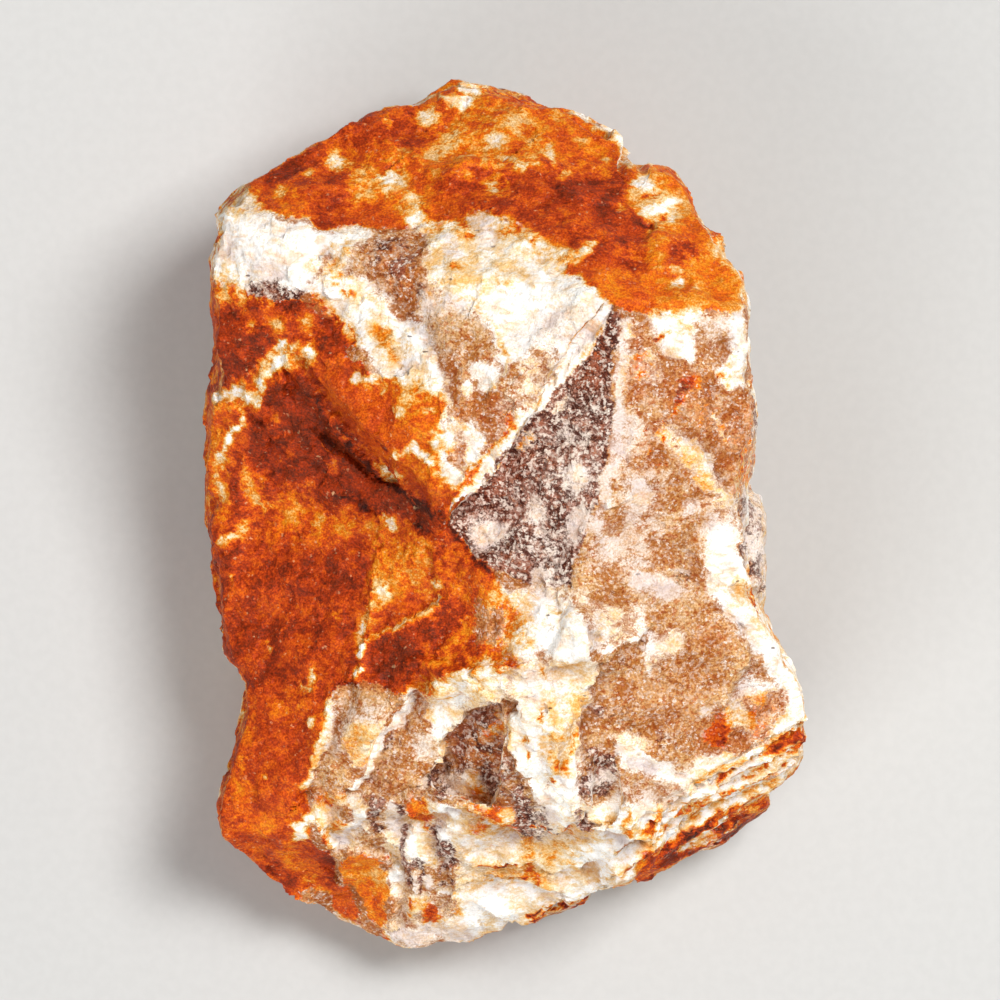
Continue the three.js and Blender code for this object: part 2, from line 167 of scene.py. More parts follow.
# The crusted end: bright orange, with rusty, yellow and white flecks.
CRUST = [
    patch("rind", 0.98, -28.6, 34.6, -26.6, 33.2, -24.8, 31.3, -20.9, 30.5, -17.9, 29.5, -14.3, 29.3,
          -9.7, 29.4, -7.1, 30.1, -4.4, 30.2, -2.4, 31.3, 0, 30.6, 2, 30.1, 3.5, 28.6, 5, 27.6, 7.2, 27.2,
          6.4, 24.8, 8, 24.4, 9.5, 23, 10.8, 21.3, 13, 20.8, 15, 20.2, 17.4, 20.5, 22.5, 21.3, 29, 20.6,
          32, 32, 18, 44, 0, 52, -16, 50, -36, 38, border=0.7),
    patch("ochre", 0.85, 15, 20, 29, 20, 32, 32, 18, 44, 13, 37, 14, 33, 16, 30, 14.6, 25, border=3),
    patch("ochre", 0.5, -16, 38, -13, 33, -9.6, 31, -6, 35, 0, 36.6, 8, 36.6, 12, 38, 10, 43, 0, 52,
          -10, 44, -8, 39, border=3),
    patch("straw", 0.2, -4, 45, -8, 41, -8, 36, -3, 38, 2, 40, 6, 40, 8, 43, 0, 47, border=3),
    patch("rust", 0.25, -29, 36, -23, 38, -14, 42, -6, 43, -8, 40, -14, 38.6, -22, 35, border=2),
    *spots("rust", 0.4, 1.7, -24.5, 36, -21.4, 37.2, -22.2, 34.4, -18.2, 33.8, -18, 31.5, -9, 39.8,
           lift=-0.1),
    *spots("ochre", 0.5, 1.6, -26, 33.6, -22, 32.4),
    patch("straw", 0.5, -18.6, 36.2, -17, 37.2, -13.6, 35.8, -9.8, 35.2, -9.6, 33, -13, 33, -15.6, 31.4,
          -15.4, 34.6),
    *spots("straw", 0.55, 1.4, -11, 37.2, -7.4, 36.8, -4.8, 38.6, -9.4, 31.4, -0.6, 37.4, 3.6, 37.8,
           1.4, 41),
    *spots("cream", 0.75, 1.0, -17.5, 36.5, -9.2, 30.6, -8, 41.3, -11.2, 33.8, -9.6, 32.4, -0.8, 34,
           -0.6, 38.6),
    *spots("chalk", 0.9, 0.8, -12.2, 34.9, -9.2, 30.4, lift=0.1),
    vein("chalk", 0.95, 0.7, -5.8, 42.9, -4.2, 42.7, lift=0.1),
    vein("chalk", 0.8, 0.5, -4.2, 44.3, -2.8, 44.3),
    patch("rust", 0.26, -8, 34.6, 1, 36, 10, 36, 14, 33, 13, 29, 10, 26, 5, 29, 0, 31, -4, 32, border=2.5),
    vein("rust", 0.55, 1.0, 5.4, 33.4, 8.6, 33.7, 11.6, 33.9),
    *spots("rust", 0.55, 1.3, 13.6, 28.8, 12.4, 29.8, 13, 26, 18.6, 26.9, 8.2, 33.4, 10.6, 32),
    *spots("ochre", 0.4, 1.6, 9, 36.2, 11.8, 35.8, 15, 26.6, 11.6, 23.6),
    patch("cream", 0.65, 6.4, 42.2, 9, 42.6, 12, 41, 14.4, 36.2, 13, 35.8, 11.6, 38.6, 9.8, 40.4),
    vein("cream", 0.8, 0.6, 7.8, 42.2, 10.4, 41, 12.6, 38.4, 13.4, 36.6),
    patch("straw", 0.8, 12.9, 34.6, 16, 35, 19.6, 32.6, 18.4, 30, 15, 29.6, 13.2, 31.2),
    vein("chalk", 0.9, 0.6, 14, 34.6, 15.4, 33.8),
    vein("chalk", 0.95, 0.5, 14.6, 31.4, 16.6, 31.6, 18.2, 32.2, lift=0.15),
    *spots("chalk", 0.8, 0.45, 17.6, 30.8, 18.1, 23.6, 17.8, 24.9),
    vein("rust", 0.9, 0.25, 13.6, 30.1, 15.4, 30, lift=-0.15),
    vein("rust", 0.7, 0.2, 14.4, 32.8, 16.4, 33, lift=-0.15),
    *spots("rust", 0.8, 0.35, 16.6, 30.6, 18.5, 27),
    vein("cream", 0.8, 0.4, 4.6, 38, 5.2, 36.8, 5, 36),
    *spots("straw", 0.7, 0.5, -3.6, 34.8, -2, 36.4, 1.6, 39.6, 2.6, 38, 6.6, 35.2, 8, 38.6, 10.4, 36.8,
           -6.2, 37.6, -13.4, 38.4, -16, 34.2, -20.4, 35.6, -23.2, 33, 12, 31.6, 16.2, 25.6, 20, 23.4,
           -6.8, 33.2, -12, 40.6),
    vein("cream", 0.6, 0.4, 0.4, 36.6, 1.6, 35.8, 3, 36.2),
    vein("cream", 0.9, 0.7, 7.2, 26.2, 8.2, 26.6, 8.6, 27.2, lift=0.2),
    vein("cream", 0.8, 1.2, 23, 27.4, 25.3, 25.2, 26.2, 21.4),
    vein("chalk", 0.8, 0.6, 23.6, 26.8, 25.8, 24.4, 26.2, 21.6),
]

# The white shoulder in the west, and the brown speckled patch beside it.
SHOULDER = [
    patch("chalk", 0.95, -31, 33.6, -26.6, 31.1, -20.9, 30.3, -17.9, 29.3, -14.3, 28.9, -13.6, 27.8,
          -16.6, 27.2, -18.9, 26.5, -20.5, 22.7, -25.6, 21.5, -29.8, 24.9, -32, 26.9),
    patch("ochre", 0.35, -29.4, 31, -28.4, 33.9, -26.8, 33.6, -24.6, 31.4, -27, 31.2),
    patch("cream", 0.6, -29.4, 31, -28.4, 34, -26.6, 33.6, -24.6, 31.4, -27, 31.2),
    patch("straw", 0.5, -32, 26, -29, 26, -27.6, 24.4, -26, 21.6, -32, 20.4, border=2.5),
    *spots("lilac", 0.6, 1.8, -29.2, 27.4, -24.6, 25),
    patch("straw", 0.35, -20.6, 26.4, -16, 28, -14.6, 25.6, -18.4, 22.6, border=2),
    patch("ochre", 0.4, -19, 27.2, -16.4, 27.8, -14.6, 26.4, -15, 24.2, -17.4, 24.4, border=1.6),
    vein("rust", 0.5, 0.8, -26.4, 22.4, -22, 21.9),
    patch("smoke", 0.75, -27.4, 23.8, -24.4, 24.4, -22.6, 23.6, -20.8, 22.8, -22, 22, -24.2, 22,
          -26.4, 22.6, border=1.2),
    patch("honey", 0.9, -16.6, 25.2, -15.6, 26.8, -13.6, 28.6, -12, 29.6, -9.6, 29.2, -8, 28.4, -7.6, 26.4,
          -8, 24.6, -5.6, 22.6, -7, 21, -9, 20.2, -10.6, 20.8, -12, 22.4, -14, 24, border=2),
    *patches({"smoke": 0.4, "rind": 0.4}, -13.6, 28, -10, 29, -8.4, 26.4, -8.6, 24, -6.6, 22, -9, 20.4,
             -12, 23, -14.4, 25.4, border=2),
    *spots("lilac", 0.6, 1.2, -7.6, 21.2, -5.2, 21.6),
]

# The crown's roof: white, with clear honey-coloured parts and a rusty edge.
ROOF = [
    patch("straw", 0.4, -8, 28, -4, 28.6, -3, 25.4, -6.4, 23, -8, 25, border=2.5),
    patch("straw", 0.4, -5, 24, 1, 25.4, 5.6, 24, 5, 22.6, 1, 22.2, -4, 21.4, border=2.5),
    patch("cream", 0.6, -7, 27, -2, 28, 4, 27, 5.6, 25, 1, 24, -4, 24, -7, 24.6, border=2),
    patch("ochre", 0.4, -8, 30.2, -5, 30.6, -2, 31, 1, 30.4, 3.6, 28.8, 2, 28.2, -1, 29.2, -5, 28.4,
          -8, 28.8, border=1.6),
    *spots("rust", 0.55, 0.35, -5.4, 29.2, -4.4, 29.8, -3.8, 28.6, -1.2, 29.9, 0.4, 29.4, 1.6, 29.4,
           3, 28.2),
    *spots("cream", 0.7, 0.7, -3, 30.4, -1.4, 30.6, -3.4, 28),
    vein("ochre", 0.5, 0.9, 4.2, 27.4, 6.6, 26.8),
    *spots("lilac", 0.7, 1.4, -2.6, 30.1, -1.6, 28.8, -5.6, 27.4),
    *spots("umber", 0.5, 0.1, -5.2, 29.4, -4.4, 28.7, -5.9, 29.7, -1.4, 29.5, 0.2, 29, 1.2, 29.6, 2.6, 28.2,
           -9, 29.8),
    *spots("ochre", 0.5, 0.8, -4.6, 29.2, 0.4, 29, -5.4, 25.8),
    patch("chalk", 0.95, -1.6, 22.8, 4, 24.4, 8, 24.2, 10.2, 21.6, 8.6, 20, 5, 20.8, 2.4, 16.8, 0, 15.6,
          -1.2, 18),
    *patches({"honey": 0.5, "lilac": 0.6}, 4.6, 20.8, 9.4, 21.7, 8.4, 20.4, 6.8, 20, 4.4, 18.4, 3, 16.6),
    patch("honey", 0.8, 1.8, 16, 4, 17, 6.2, 16.4, 4.2, 12.4, 1.6, 9.6, -1.6, 5.6, -3.6, 3, -5.6, 5,
          -5.4, 11, -4.6, 15, -1, 12.6, 0, 15, border=1.6),
    patch("cream", 0.35, 1.8, 16, 4, 17, 6.2, 16.4, 4.2, 12.4, 1.6, 9.6, -0.6, 10, 0.4, 13.6, border=1.6),
    patch("honey", 0.9, -8.6, 20.2, -5.4, 21.4, -2, 20, -0.8, 17, -1.2, 14, -2, 8.6, -5.4, 10, -5.8, 14,
          -7.4, 17.6, border=2),
    patch("rind", 0.4, -5.2, 12.6, -0.6, 13, 1.6, 10.8, 0.4, 8, -2, 5, -4.6, 4.6, border=2.5),
    patch("rind", 0.3, -6.4, 16.4, -4.6, 17, -4, 14, -5.4, 12, border=1.5),
    *spots("rind", 0.45, 0.7, -1.6, 16, 0.8, 9.4, -4.4, 10.2, -5, 6.4),
    *spots("chalk", 0.8, 0.8, -2.8, 14.8, -1.6, 14.4, -3.6, 13, -1.8, 13.2),
    *spots("chalk", 0.75, 0.9, -3, 6.4, -2.4, 7.6, -3.4, 5.2, -3.8, 8.2),
    *spots("cream", 0.6, 0.5, 2.6, 13, 3.4, 14.6, -5, 9.4),
    vein("straw", 0.8, 0.35, -2.6, 20.8, -1, 18.8, 0.4, 16, 0.2, 14.4),
    vein("rind", 0.6, 0.5, 0.8, 8.6, -1.4, 5.6, -3.6, 3, -5, 1.4),
    vein("rind", 0.7, 0.3, -3.6, 4.6, -5, 2),
    vein("ochre", 0.6, 0.5, 4.6, 12.6, 5.6, 13.8),
    vein("chalk", 0.95, 0.55, 10.4, 21, 9, 17.6, 6.4, 14.6, 3.4, 10.6, 0.2, 6.8, -2.6, 3, -5, 0.6,
         lift=0.1),
    vein("chalk", 0.95, 1.0, 9.6, 19.8, 8, 17, 6.6, 16.4),
    patch("chalk", 0.9, -20.4, 24.6, -16.6, 22.6, -12.6, 19.4, -8.6, 18.4, -7.2, 15.6, -10, 14.6, -13, 16.8,
          -15.6, 18.6, -18, 21.4, border=1),
    patch("straw", 0.65, -14, 19.4, -11.4, 18.8, -9.6, 16.8, -10.6, 15.4, -13.6, 17, -15.2, 18.2),
    *spots("ochre", 0.6, 1.0, -12.6, 18.2, -11, 16.6),
    vein("rust", 0.5, 0.25, -17.6, 23.4, -16, 22.4),
    vein("honey", 0.5, 0.25, -13.4, 22.6, -10.4, 20.2),
]

# The rusty side of the crown with its white rims, and the orange zone at its foot.
LEFT = [
    patch("rust", 0.7, -33, 20.6, -26, 20.9, -22, 21.5, -19.4, 22.6, -16.8, 19.6, -15, 17, -18, 16.6,
          -23, 18, -26, 15.6, -27, 13, -33, 12.4, border=1),
    patch("rust", 0.5, -19, 20.4, -16.6, 19.6, -14.4, 16.8, -16.4, 16.4, -18.4, 17.8, border=0.8),
    patch("ochre", 0.6, -25, 20.6, -19.6, 20.6, -19, 18, -23, 17.6, -25, 18.4, border=1.5),
    *spots("straw", 0.7, 0.8, -20.6, 19.3, -23.6, 19.4, -26.2, 19.2),
    *spots("rust", 0.4, 1.4, -28.4, 17.6, -29.4, 15),
    vein("straw", 0.75, 1.5, -20.6, 16.4, -24, 15.6, -26.4, 12.4, -30, 11.4),
    *spots("chalk", 0.85, 0.5, -20, 16.6, -21.8, 17.2, -23, 17.4, -22.9, 15.9, -24.6, 12.6),
    vein("chalk", 0.85, 0.5, -23.4, 15.6, -24.4, 14.4, -25.4, 13.4, lift=0.1),
    vein("chalk", 0.85, 0.45, -25.2, 11.8, -27.4, 12.4, -29.4, 11.8, -30.8, 12.2, lift=0.1),
    vein("ochre", 0.7, 1.6, -29.6, 10.4, -30.4, 6, -30, 1),
    vein("chalk", 0.8, 0.25, -27.2, 10, -28.6, 8.2, -29.4, 6.2, lift=0.1),
    vein("cream", 0.8, 0.35, -29.6, 5.6, -29.9, 3.7, -29.6, 1.6),
    patch("rust", 0.75, -21.6, 14.6, -19.5, 13.2, -18.6, 9.6, -16, 6.2, -12, 3.4, -7.4, 0, -10, -0.6,
          -16.8, 0.4, -19, 2, -22, 3, -26, 4.6, -26.6, 8, -25, 11.6),
    patch("rust", 0.5, -22, 13.4, -19.2, 11.4, -18, 8, -14, 4.6, -9, 1.4, -16.8, 3, -21, 5, -24.6, 7,
          -24, 10, border=2.5),
    *spots("ochre", 0.5, 0.8, -22.8, 7.9, -24, 9.6, -22.4, 5.6, -17.4, 4.8, -20.6, 2.6),
    patch("rust", 0.6, -21.4, 14.6, -19.4, 11.8, -15.8, 7, -11.6, 3.2, -6.4, -0.6, -7.4, -2.4, -12, 0.6,
          -17, 5, -20.6, 10, border=1),
    vein("umber", 0.9, 0.35, -13.6, 4.7, -11.4, 2.7, -9.4, 1.4, -7, 0, -5.4, -1, lift=-0.25),
    vein("umber", 0.5, 0.3, -20, 12, -18, 9.4, -15.9, 7.2, -13.6, 4.8),
    vein("umber", 0.7, 0.22, -17.1, 1.7, -14.3, 0.6, -12.5, -0.5, lift=-0.25),
    vein("umber", 0.6, 0.2, -11.6, 0.6, -9.6, -0.6, -7.6, -1.8, lift=-0.2),
    vein("umber", 0.8, 0.3, -5.6, -1.4, -4.2, -3.2, -2.8, -5.2, -1, -6.6, lift=-0.2),
    *spots("umber", 0.9, 0.35, -19.2, 12, -15.8, 7.4, -16, 8.2),
    patch("ochre", 0.35, -30, 4, -26.4, 4.6, -22, 2, -17, 0.6, -13, -1, -13, -3, -18, -3.6, -24, -2.4,
          -30, -1, border=3),
    vein("rust", 0.5, 0.5, -28.6, 4.6, -27.8, 1.6, -27.4, -0.4),
    vein("straw", 0.5, 0.4, -27.4, 5, -26.2, 1.8, -24.6, 0.4),
    vein("straw", 0.4, 0.5, -23.6, 1, -21, 0.2, -17.4, -2),
    *spots("ochre", 0.6, 1.6, -17.6, -2, -14.2, -1.6, -21.8, 0.2),
    vein("straw", 0.7, 0.6, -29.2, -3, -27.6, -2.4, -26.8, -1),
    vein("cream", 0.9, 0.25, -29.4, -3.3, -28.2, -2.3),
    *spots("lilac", 0.8, 0.32, -12.4, -0.6, -11.6, -1.1),
    # The orange zone east of the crown's edge.
    patch("rind", 0.97, -20.4, 14.4, -17.6, 16.4, -14, 14.6, -11, 13.2, -7.4, 12.6, -6, 10.4, -7, 7.6,
          -6.6, 5, -4.6, 0.2, -6.4, 0, -11.7, 3.8, -16, 7.8, -19.4, 12.4, border=1),
    patch("ochre", 0.45, -13, 13.4, -7, 12.8, -6, 9, -9, 8, -11, 10, border=2),
    patch("ochre", 0.4, -12, 6, -7, 6, -5, 1, -6, 1, -11, 4, border=2),
    *spots("straw", 0.7, 1.2, -9.6, 12.4, -8, 8.6),
    *spots("cream", 0.8, 0.5, -14.2, 13.6, -12.6, 12.6, -10.6, 10.6, -8, 10.6),
    vein("cream", 0.7, 0.3, -13.4, 5, -12, 4, -10.6, 3.4),
    vein("chalk", 0.75, 0.45, -11, 6.2, -9.6, 6.6, -7.4, 5.2),
    *spots("chalk", 0.95, 0.45, -10.7, 10.3, -15.4, 13.9, -13.6, 13.9),
    *spots("chalk", 0.8, 0.9, -6.6, 7.6, -5.8, 3.6),
]

# The orange flank, with its ochre patch and thin slanting steps.
FLANK = [
    patch("ochre", 0.8, -13.6, -3, -9.6, -1.2, -7.6, -3, -6.8, -6, -7.4, -8.6, -11, -9, -14.2, -10.4,
          -14.6, -7),
    patch("straw", 0.2, -12, -5, -9.6, -2.6, -7.8, -4, -7.2, -7.6, -9.6, -8, -12, -7, border=2),
    *spots("straw", 0.6, 1.0, -12.8, -8, -13.6, -9.8, -14.2, -11.4),
    *spots("cream", 0.85, 0.5, -12.8, -8.5, -12.2, -8.2, -7.2, -7.4, -6.9, -9.2, lift=0.12),
    *spots("rust", 0.7, 0.3, -13.8, -7.4, -12.4, -7.6, -6.6, -8.2, -7.8, -6.8, -14.2, -8.8),
    patch("rind", 0.7, -12.4, -11, -11, -9.4, -7.8, -9.2, -8.6, -10.4),
    patch("ochre", 0.35, -6.8, -2.6, -4, -4.4, -1.4, -7.4, -2, -10, -6, -8.6, border=2),
    vein("straw", 0.9, 0.4, -6.7, -9.8, -9.4, -11.1, -12, -12.5, -13.9, -13.2, lift=0.12),
    patch("rust", 0.75, -14, -13.8, -9.5, -11.8, -6.6, -11.4, -8, -14, -9.6, -17.4, -12, -18.4,
          -14.2, -16.2),
    patch("rust", 0.3, -24, -5, -15.6, -5.4, -15, -9.6, -19, -9, -24, -8, border=2.5),
    patch("straw", 0.3, -6.6, -10.4, -1, -10.4, 0, -16, -5, -18.4, -9.8, -18.4, -8, -14, border=2),
    patch("rust", 0.3, -6.6, -10.4, -3, -10.4, -2, -16, -5, -18.4, -9.8, -18.4, -8, -14, border=2),
    *spots("straw", 0.7, 0.6, -15, -12.6, -15.3, -16.4, -14.9, -14.4),
    *spots("chalk", 0.9, 0.4, -14.9, -11.9, -14.7, -13.8, -15.1, -14.6, -15.3, -16.9, -14.6, -16.4,
           lift=0.2),
    vein("cream", 0.8, 0.25, -19.9, -16.1, -20.1, -17.4, -20.5, -18.5, lift=0.1),
    *spots("cream", 0.95, 0.34, -19.9, -21.8, -20, -25.4, -24.9, -27.7, -24.3, -14.1, -28.4, -6.5,
           -21, -18.2, lift=0.12),
    *spots("straw", 0.7, 0.55, -27.4, -26, -17, -11),
    *spots("ochre", 0.4, 1.6, -22.2, -20.6, -26.4, -22, -28.2, -29, -25, -33.5, -21, -31.6, -22, -36),
    *spots("rust", 0.5, 0.9, -28.9, -30.4, -28.6, -32),
    *spots("straw", 0.4, 0.8, -28, -32.6),
]

# The dark three-cornered window of clear calcite.
WINDOW = [
    patch("smoke", 0.97, 10.8, 21.4, 12.2, 20.4, 11.6, 17, 11.2, 13, 11, 9, 10.6, 5, 9.4, 0.6, 8.6, -2.4,
          7.6, -5.8, 6.6, -7.6, 3.6, -7.6, 1.4, -6.8, -0.4, -6.2, -2.6, -4.8, -4, -3, -6, -1, -4.8, 0.4,
          -2.8, 2.2, -0.6, 5.4, 1.2, 7.6, 3.6, 10.2, 7, 14.2, 8.6, 16, 10, 19, border=0.5),
    patch("lilac", 0.12, 4, 10, 9, 14, 11.6, 9, 10, 2, 7, -7, 2, -7, -4, -3, -4, 0, 0, 5, border=1.5),
    patch("rind", 0.4, 10.8, 21, 12.2, 20, 11.4, 16, 10.4, 12.6, 7, 12.6, 8.4, 16, border=1.4),
    patch("rind", 0.35, 0.2, 7, 2.6, 9, 4, 8, 3, 4.6, 0, 2, -3, 0, -2.6, 2.4, border=1.4),
    patch("ochre", 0.35, 9.4, 17.4, 10.8, 18, 10.6, 15, 8.6, 13.8, 6, 12.6, 7.8, 15.4),
    patch("lilac", 0.65, -4, -1.4, -2, -0.4, 1, -0.8, 1, -2.6, -1.4, -3.4, -3.4, -4, border=1.6),
    patch("chalk", 0.4, -3.4, -1.8, -0.6, -1, 0.6, -2, -2, -3.4, border=1),
    patch("lilac", 0.4, 1.8, -0.8, 3.4, 1.6, 5.2, 2, 4.6, -0.4, 3, -1.8, border=1.4),
    patch("lilac", 0.7, 5.6, 4.2, 7.5, 5.8, 9.4, 5, 9, 2.2, 7.2, 1.6, border=1.6),
    patch("chalk", 0.5, 6.6, 4.2, 7.6, 5.2, 8.8, 4.4, 8, 2.8, border=1),
    patch("lilac", 0.25, 4.4, 8.6, 7, 11.4, 9.8, 10, 9, 6.6, 6.2, 6.4, border=1.8),
    patch("cream", 0.55, 4.8, 11.2, 5.6, 12.2, 6.8, 11.6, 6.4, 10.4, 5.2, 10.2, border=0.8),
    patch("cream", 0.5, 1.4, 7, 2.4, 8, 3.6, 8, 2.6, 6.2, border=0.8),
    patch("lilac", 0.32, 1.6, -3.4, 3.4, -1.6, 6, -2, 6.2, -4, 3.4, -5.6, border=1.6),
    patch("lilac", 0.6, 2.4, -6, 5.4, -5.6, 6.4, -7.4, 3, -7.8, border=1.2),
    patch("lilac", 0.6, 8.4, 1, 9.2, -1, 7.4, -3.4, 6.2, -2, 7, 0.2, border=1.2),
    patch("ochre", 0.4, -2.2, -4.8, 0.2, -4.8, 0.6, -6.2, -1, -6.2, border=0.8),
]

# The flat face on the right: clear and tan, with a white step.
RIGHT_FACE = [
    *patches({"lilac": 0.1, "smoke": 0.12}, 11.8, 20.6, 26, 20.6, 27, 8, 27, -9, 20, -11, 9.6, -9.4,
             8.4, -6, 9.8, 1, 11.2, 9, border=2),
    patch("rind", 0.5, 12.9, 19.2, 14.6, 19, 15.6, 14.8, 14.8, 11.6, 13, 11.4, 12.6, 15, border=2.2),
    vein("lilac", 0.6, 0.5, 12.6, 19.8, 12.1, 15.4, 11.9, 11.4, 11.5, 7, 10.6, 2.4, 9.6, -1.6),
    *spots("cream", 0.5, 0.6, 13.4, 16.4, 14.2, 14.2, 14.9, 16.2, 13, 18.4),
    patch("chalk", 0.85, 14.6, 20.2, 16.4, 20.6, 19.6, 20.9, 20.2, 17.8, 19.4, 15, 17.8, 16.2, 16.4, 17.2),
    crack("rust", 0.7, 15.4, 17.4, 17, 18.8),
    patch("straw", 0.4, 17.6, 20.6, 19.4, 20.6, 19.8, 18.6, 18.2, 18.4, border=1.4),
    patch("lilac", 0.55, 14.6, 15.6, 16.4, 15.2, 17, 12.8, 15.4, 13, border=1.5),
    *patches({"honey": 0.85, "lilac": 0.4}, 20.4, 20.2, 23.4, 20.4, 24, 18.4, 22.2, 16.2, 20.4, 16,
             19.8, 18),
    patch("chalk", 0.9, 23.6, 20.4, 27, 20.6, 27, 12, 25, 13, 22.6, 12.8, 21.6, 14.6, 23.4, 16.2),
    patch("straw", 0.35, 21.8, 14.8, 24, 14.4, 24, 12.4, 22.4, 12.4),
    patch("honey", 0.9, 16.8, 14, 19, 15.2, 21.2, 14.8, 22, 12, 22.6, 8.6, 20.8, 7.4, 18.6, 8.8, 16.8, 9.4,
          16.4, 12),
    patch("rust", 0.58, 17, 13.6, 18.8, 14.6, 20.6, 14.4, 19, 11.4, 17.8, 8.8, 16.6, 9.6, border=1.8),
    patch("lilac", 0.4, 17.8, 11.6, 19.2, 11.8, 19, 10, 17.8, 10.2, border=1.2),
    patch("ochre", 0.55, 19.4, 14.8, 21.4, 14.4, 22, 11, 21.4, 7.6, 19.6, 8.4, 19.6, 12, border=1.5),
    *patches({"honey": 0.7, "ochre": 0.48}, 22.6, 11, 26.6, 12.6, 26.6, 3, 24.4, 0, 23, 4, 21.6, 7.6,
             border=1.4),
    vein("cream", 0.7, 0.2, 21.7, 10.2, 22.4, 8.8, 23, 7.6, lift=0.1),
    patch("ochre", 0.2, 16, 16, 24, 17, 27, 10, 27, 0, 22, 2, 18, 8, 14, 12, border=3),
    patch("straw", 0.3, 12.4, 6, 15, 7, 16.4, 2, 15.6, -6, 12.8, -5, 12.4, 0, border=2.5),
    *spots("lilac", 0.6, 1.2, 14, 1.8, 12.6, 6.4, 13.6, 8.8),
    *spots("lilac", 0.6, 1.0, 14.2, 2.2, 17.4, 16.6, 19.4, 0.6),
    patch("ochre", 0.4, 14.6, 9.4, 16.8, 10, 17.6, 7.4, 17.2, 4.6, 15, 4.6, 14.4, 7, border=1.5),
    *spots("straw", 0.6, 0.9, 18.6, 5.4, 20.4, 3, 16, 8.2),
    *spots("umber", 1.0, 0.14, 14.5, 8.9, 14.5, 8.5, 16.4, 8.4, 16.6, 7.6, 15.3, 6.4, 16.9, 4.7, 16.2, 4.9,
           14.2, 11.7, 22.1, 13.9, lift=-0.25),
    patch("cream", 0.6, 16.6, 8.8, 19.6, 8, 21.6, 5.8, 22.6, 3, 24.6, 0.6, 22.6, 0.4, 20.6, 3.2, 19.6, 5.4,
          17.4, 7.2),
    patch("chalk", 0.3, 18.4, 7.4, 20.6, 6.6, 21.6, 4.4, 20.4, 4.2, border=1.4),
    patch("straw", 0.6, 17.4, 6.8, 18.8, 5.8, 20.4, 3.4, 22.2, 0.6, 21.2, 0.4, 19.4, 3, 18.2, 4.8,
          border=1),
    patch("lilac", 0.45, 10.2, -0.6, 12, -0.8, 12.4, -5, 9.6, -7.6, 8.8, -4, border=2),
    patch("lilac", 0.25, 11.4, 5, 17, 4, 17.6, -6, 12, -7, border=3),
    patch("lilac", 0.6, 12.4, -5.8, 16, -6.4, 19.4, -8.4, 17, -9, 13.4, -7.8, border=1),
    patch("smoke", 0.25, 15.6, -4.4, 20, -4.6, 22.2, -9, 20.4, -10.8, 19, -8.4, 16, -6, border=1.5),
    patch("cream", 0.45, 3, -7.8, 9, -8, 9.4, -9.8, 3, -9.8, border=1.5),
    patch("chalk", 0.4, 8.6, -9.4, 15.2, -10.2, 14.8, -12, 10, -14.4, 8.6, -13.4, border=2),
    patch("cream", 0.3, 8.6, -9.4, 15.2, -10.2, 14.8, -12, 10, -14.4, 8.6, -13.4),
    patch("lilac", 0.5, 20, -2.4, 21.6, 0.6, 24, 0.8, 24, -2, border=2),
    patch("chalk", 0.9, 20.9, -3.4, 22, -1.4, 23.8, -1, 24.4, -4, 25.6, -7, 27.6, -9.5, 29, -13, 26, -13.6,
          22.8, -11.4, 21.5, -8, 20.7, -5.6, border=2),
    patch("cream", 0.6, 22.2, -7.4, 25.6, -7.6, 27.8, -10.6, 27, -13, 23.4, -11.4, border=2),
    patch("straw", 0.35, 23, -6.4, 25.6, -7, 26.4, -9.6, 24, -9),
    vein("smoke", 0.7, 0.35, 24.8, 0, 24.7, -2.4, 25.3, -6, lift=-0.2),
    # The small knob on the east side: lilac, greyed with smoke, partly its own grey and partly painted
    # shade.
    *patches({"lilac": 0.95, "smoke": 0.4}, 25.4, 4, 32, 4, 32, -10, 27.2, -9, 25.6, -6, 25.1, -3),
]

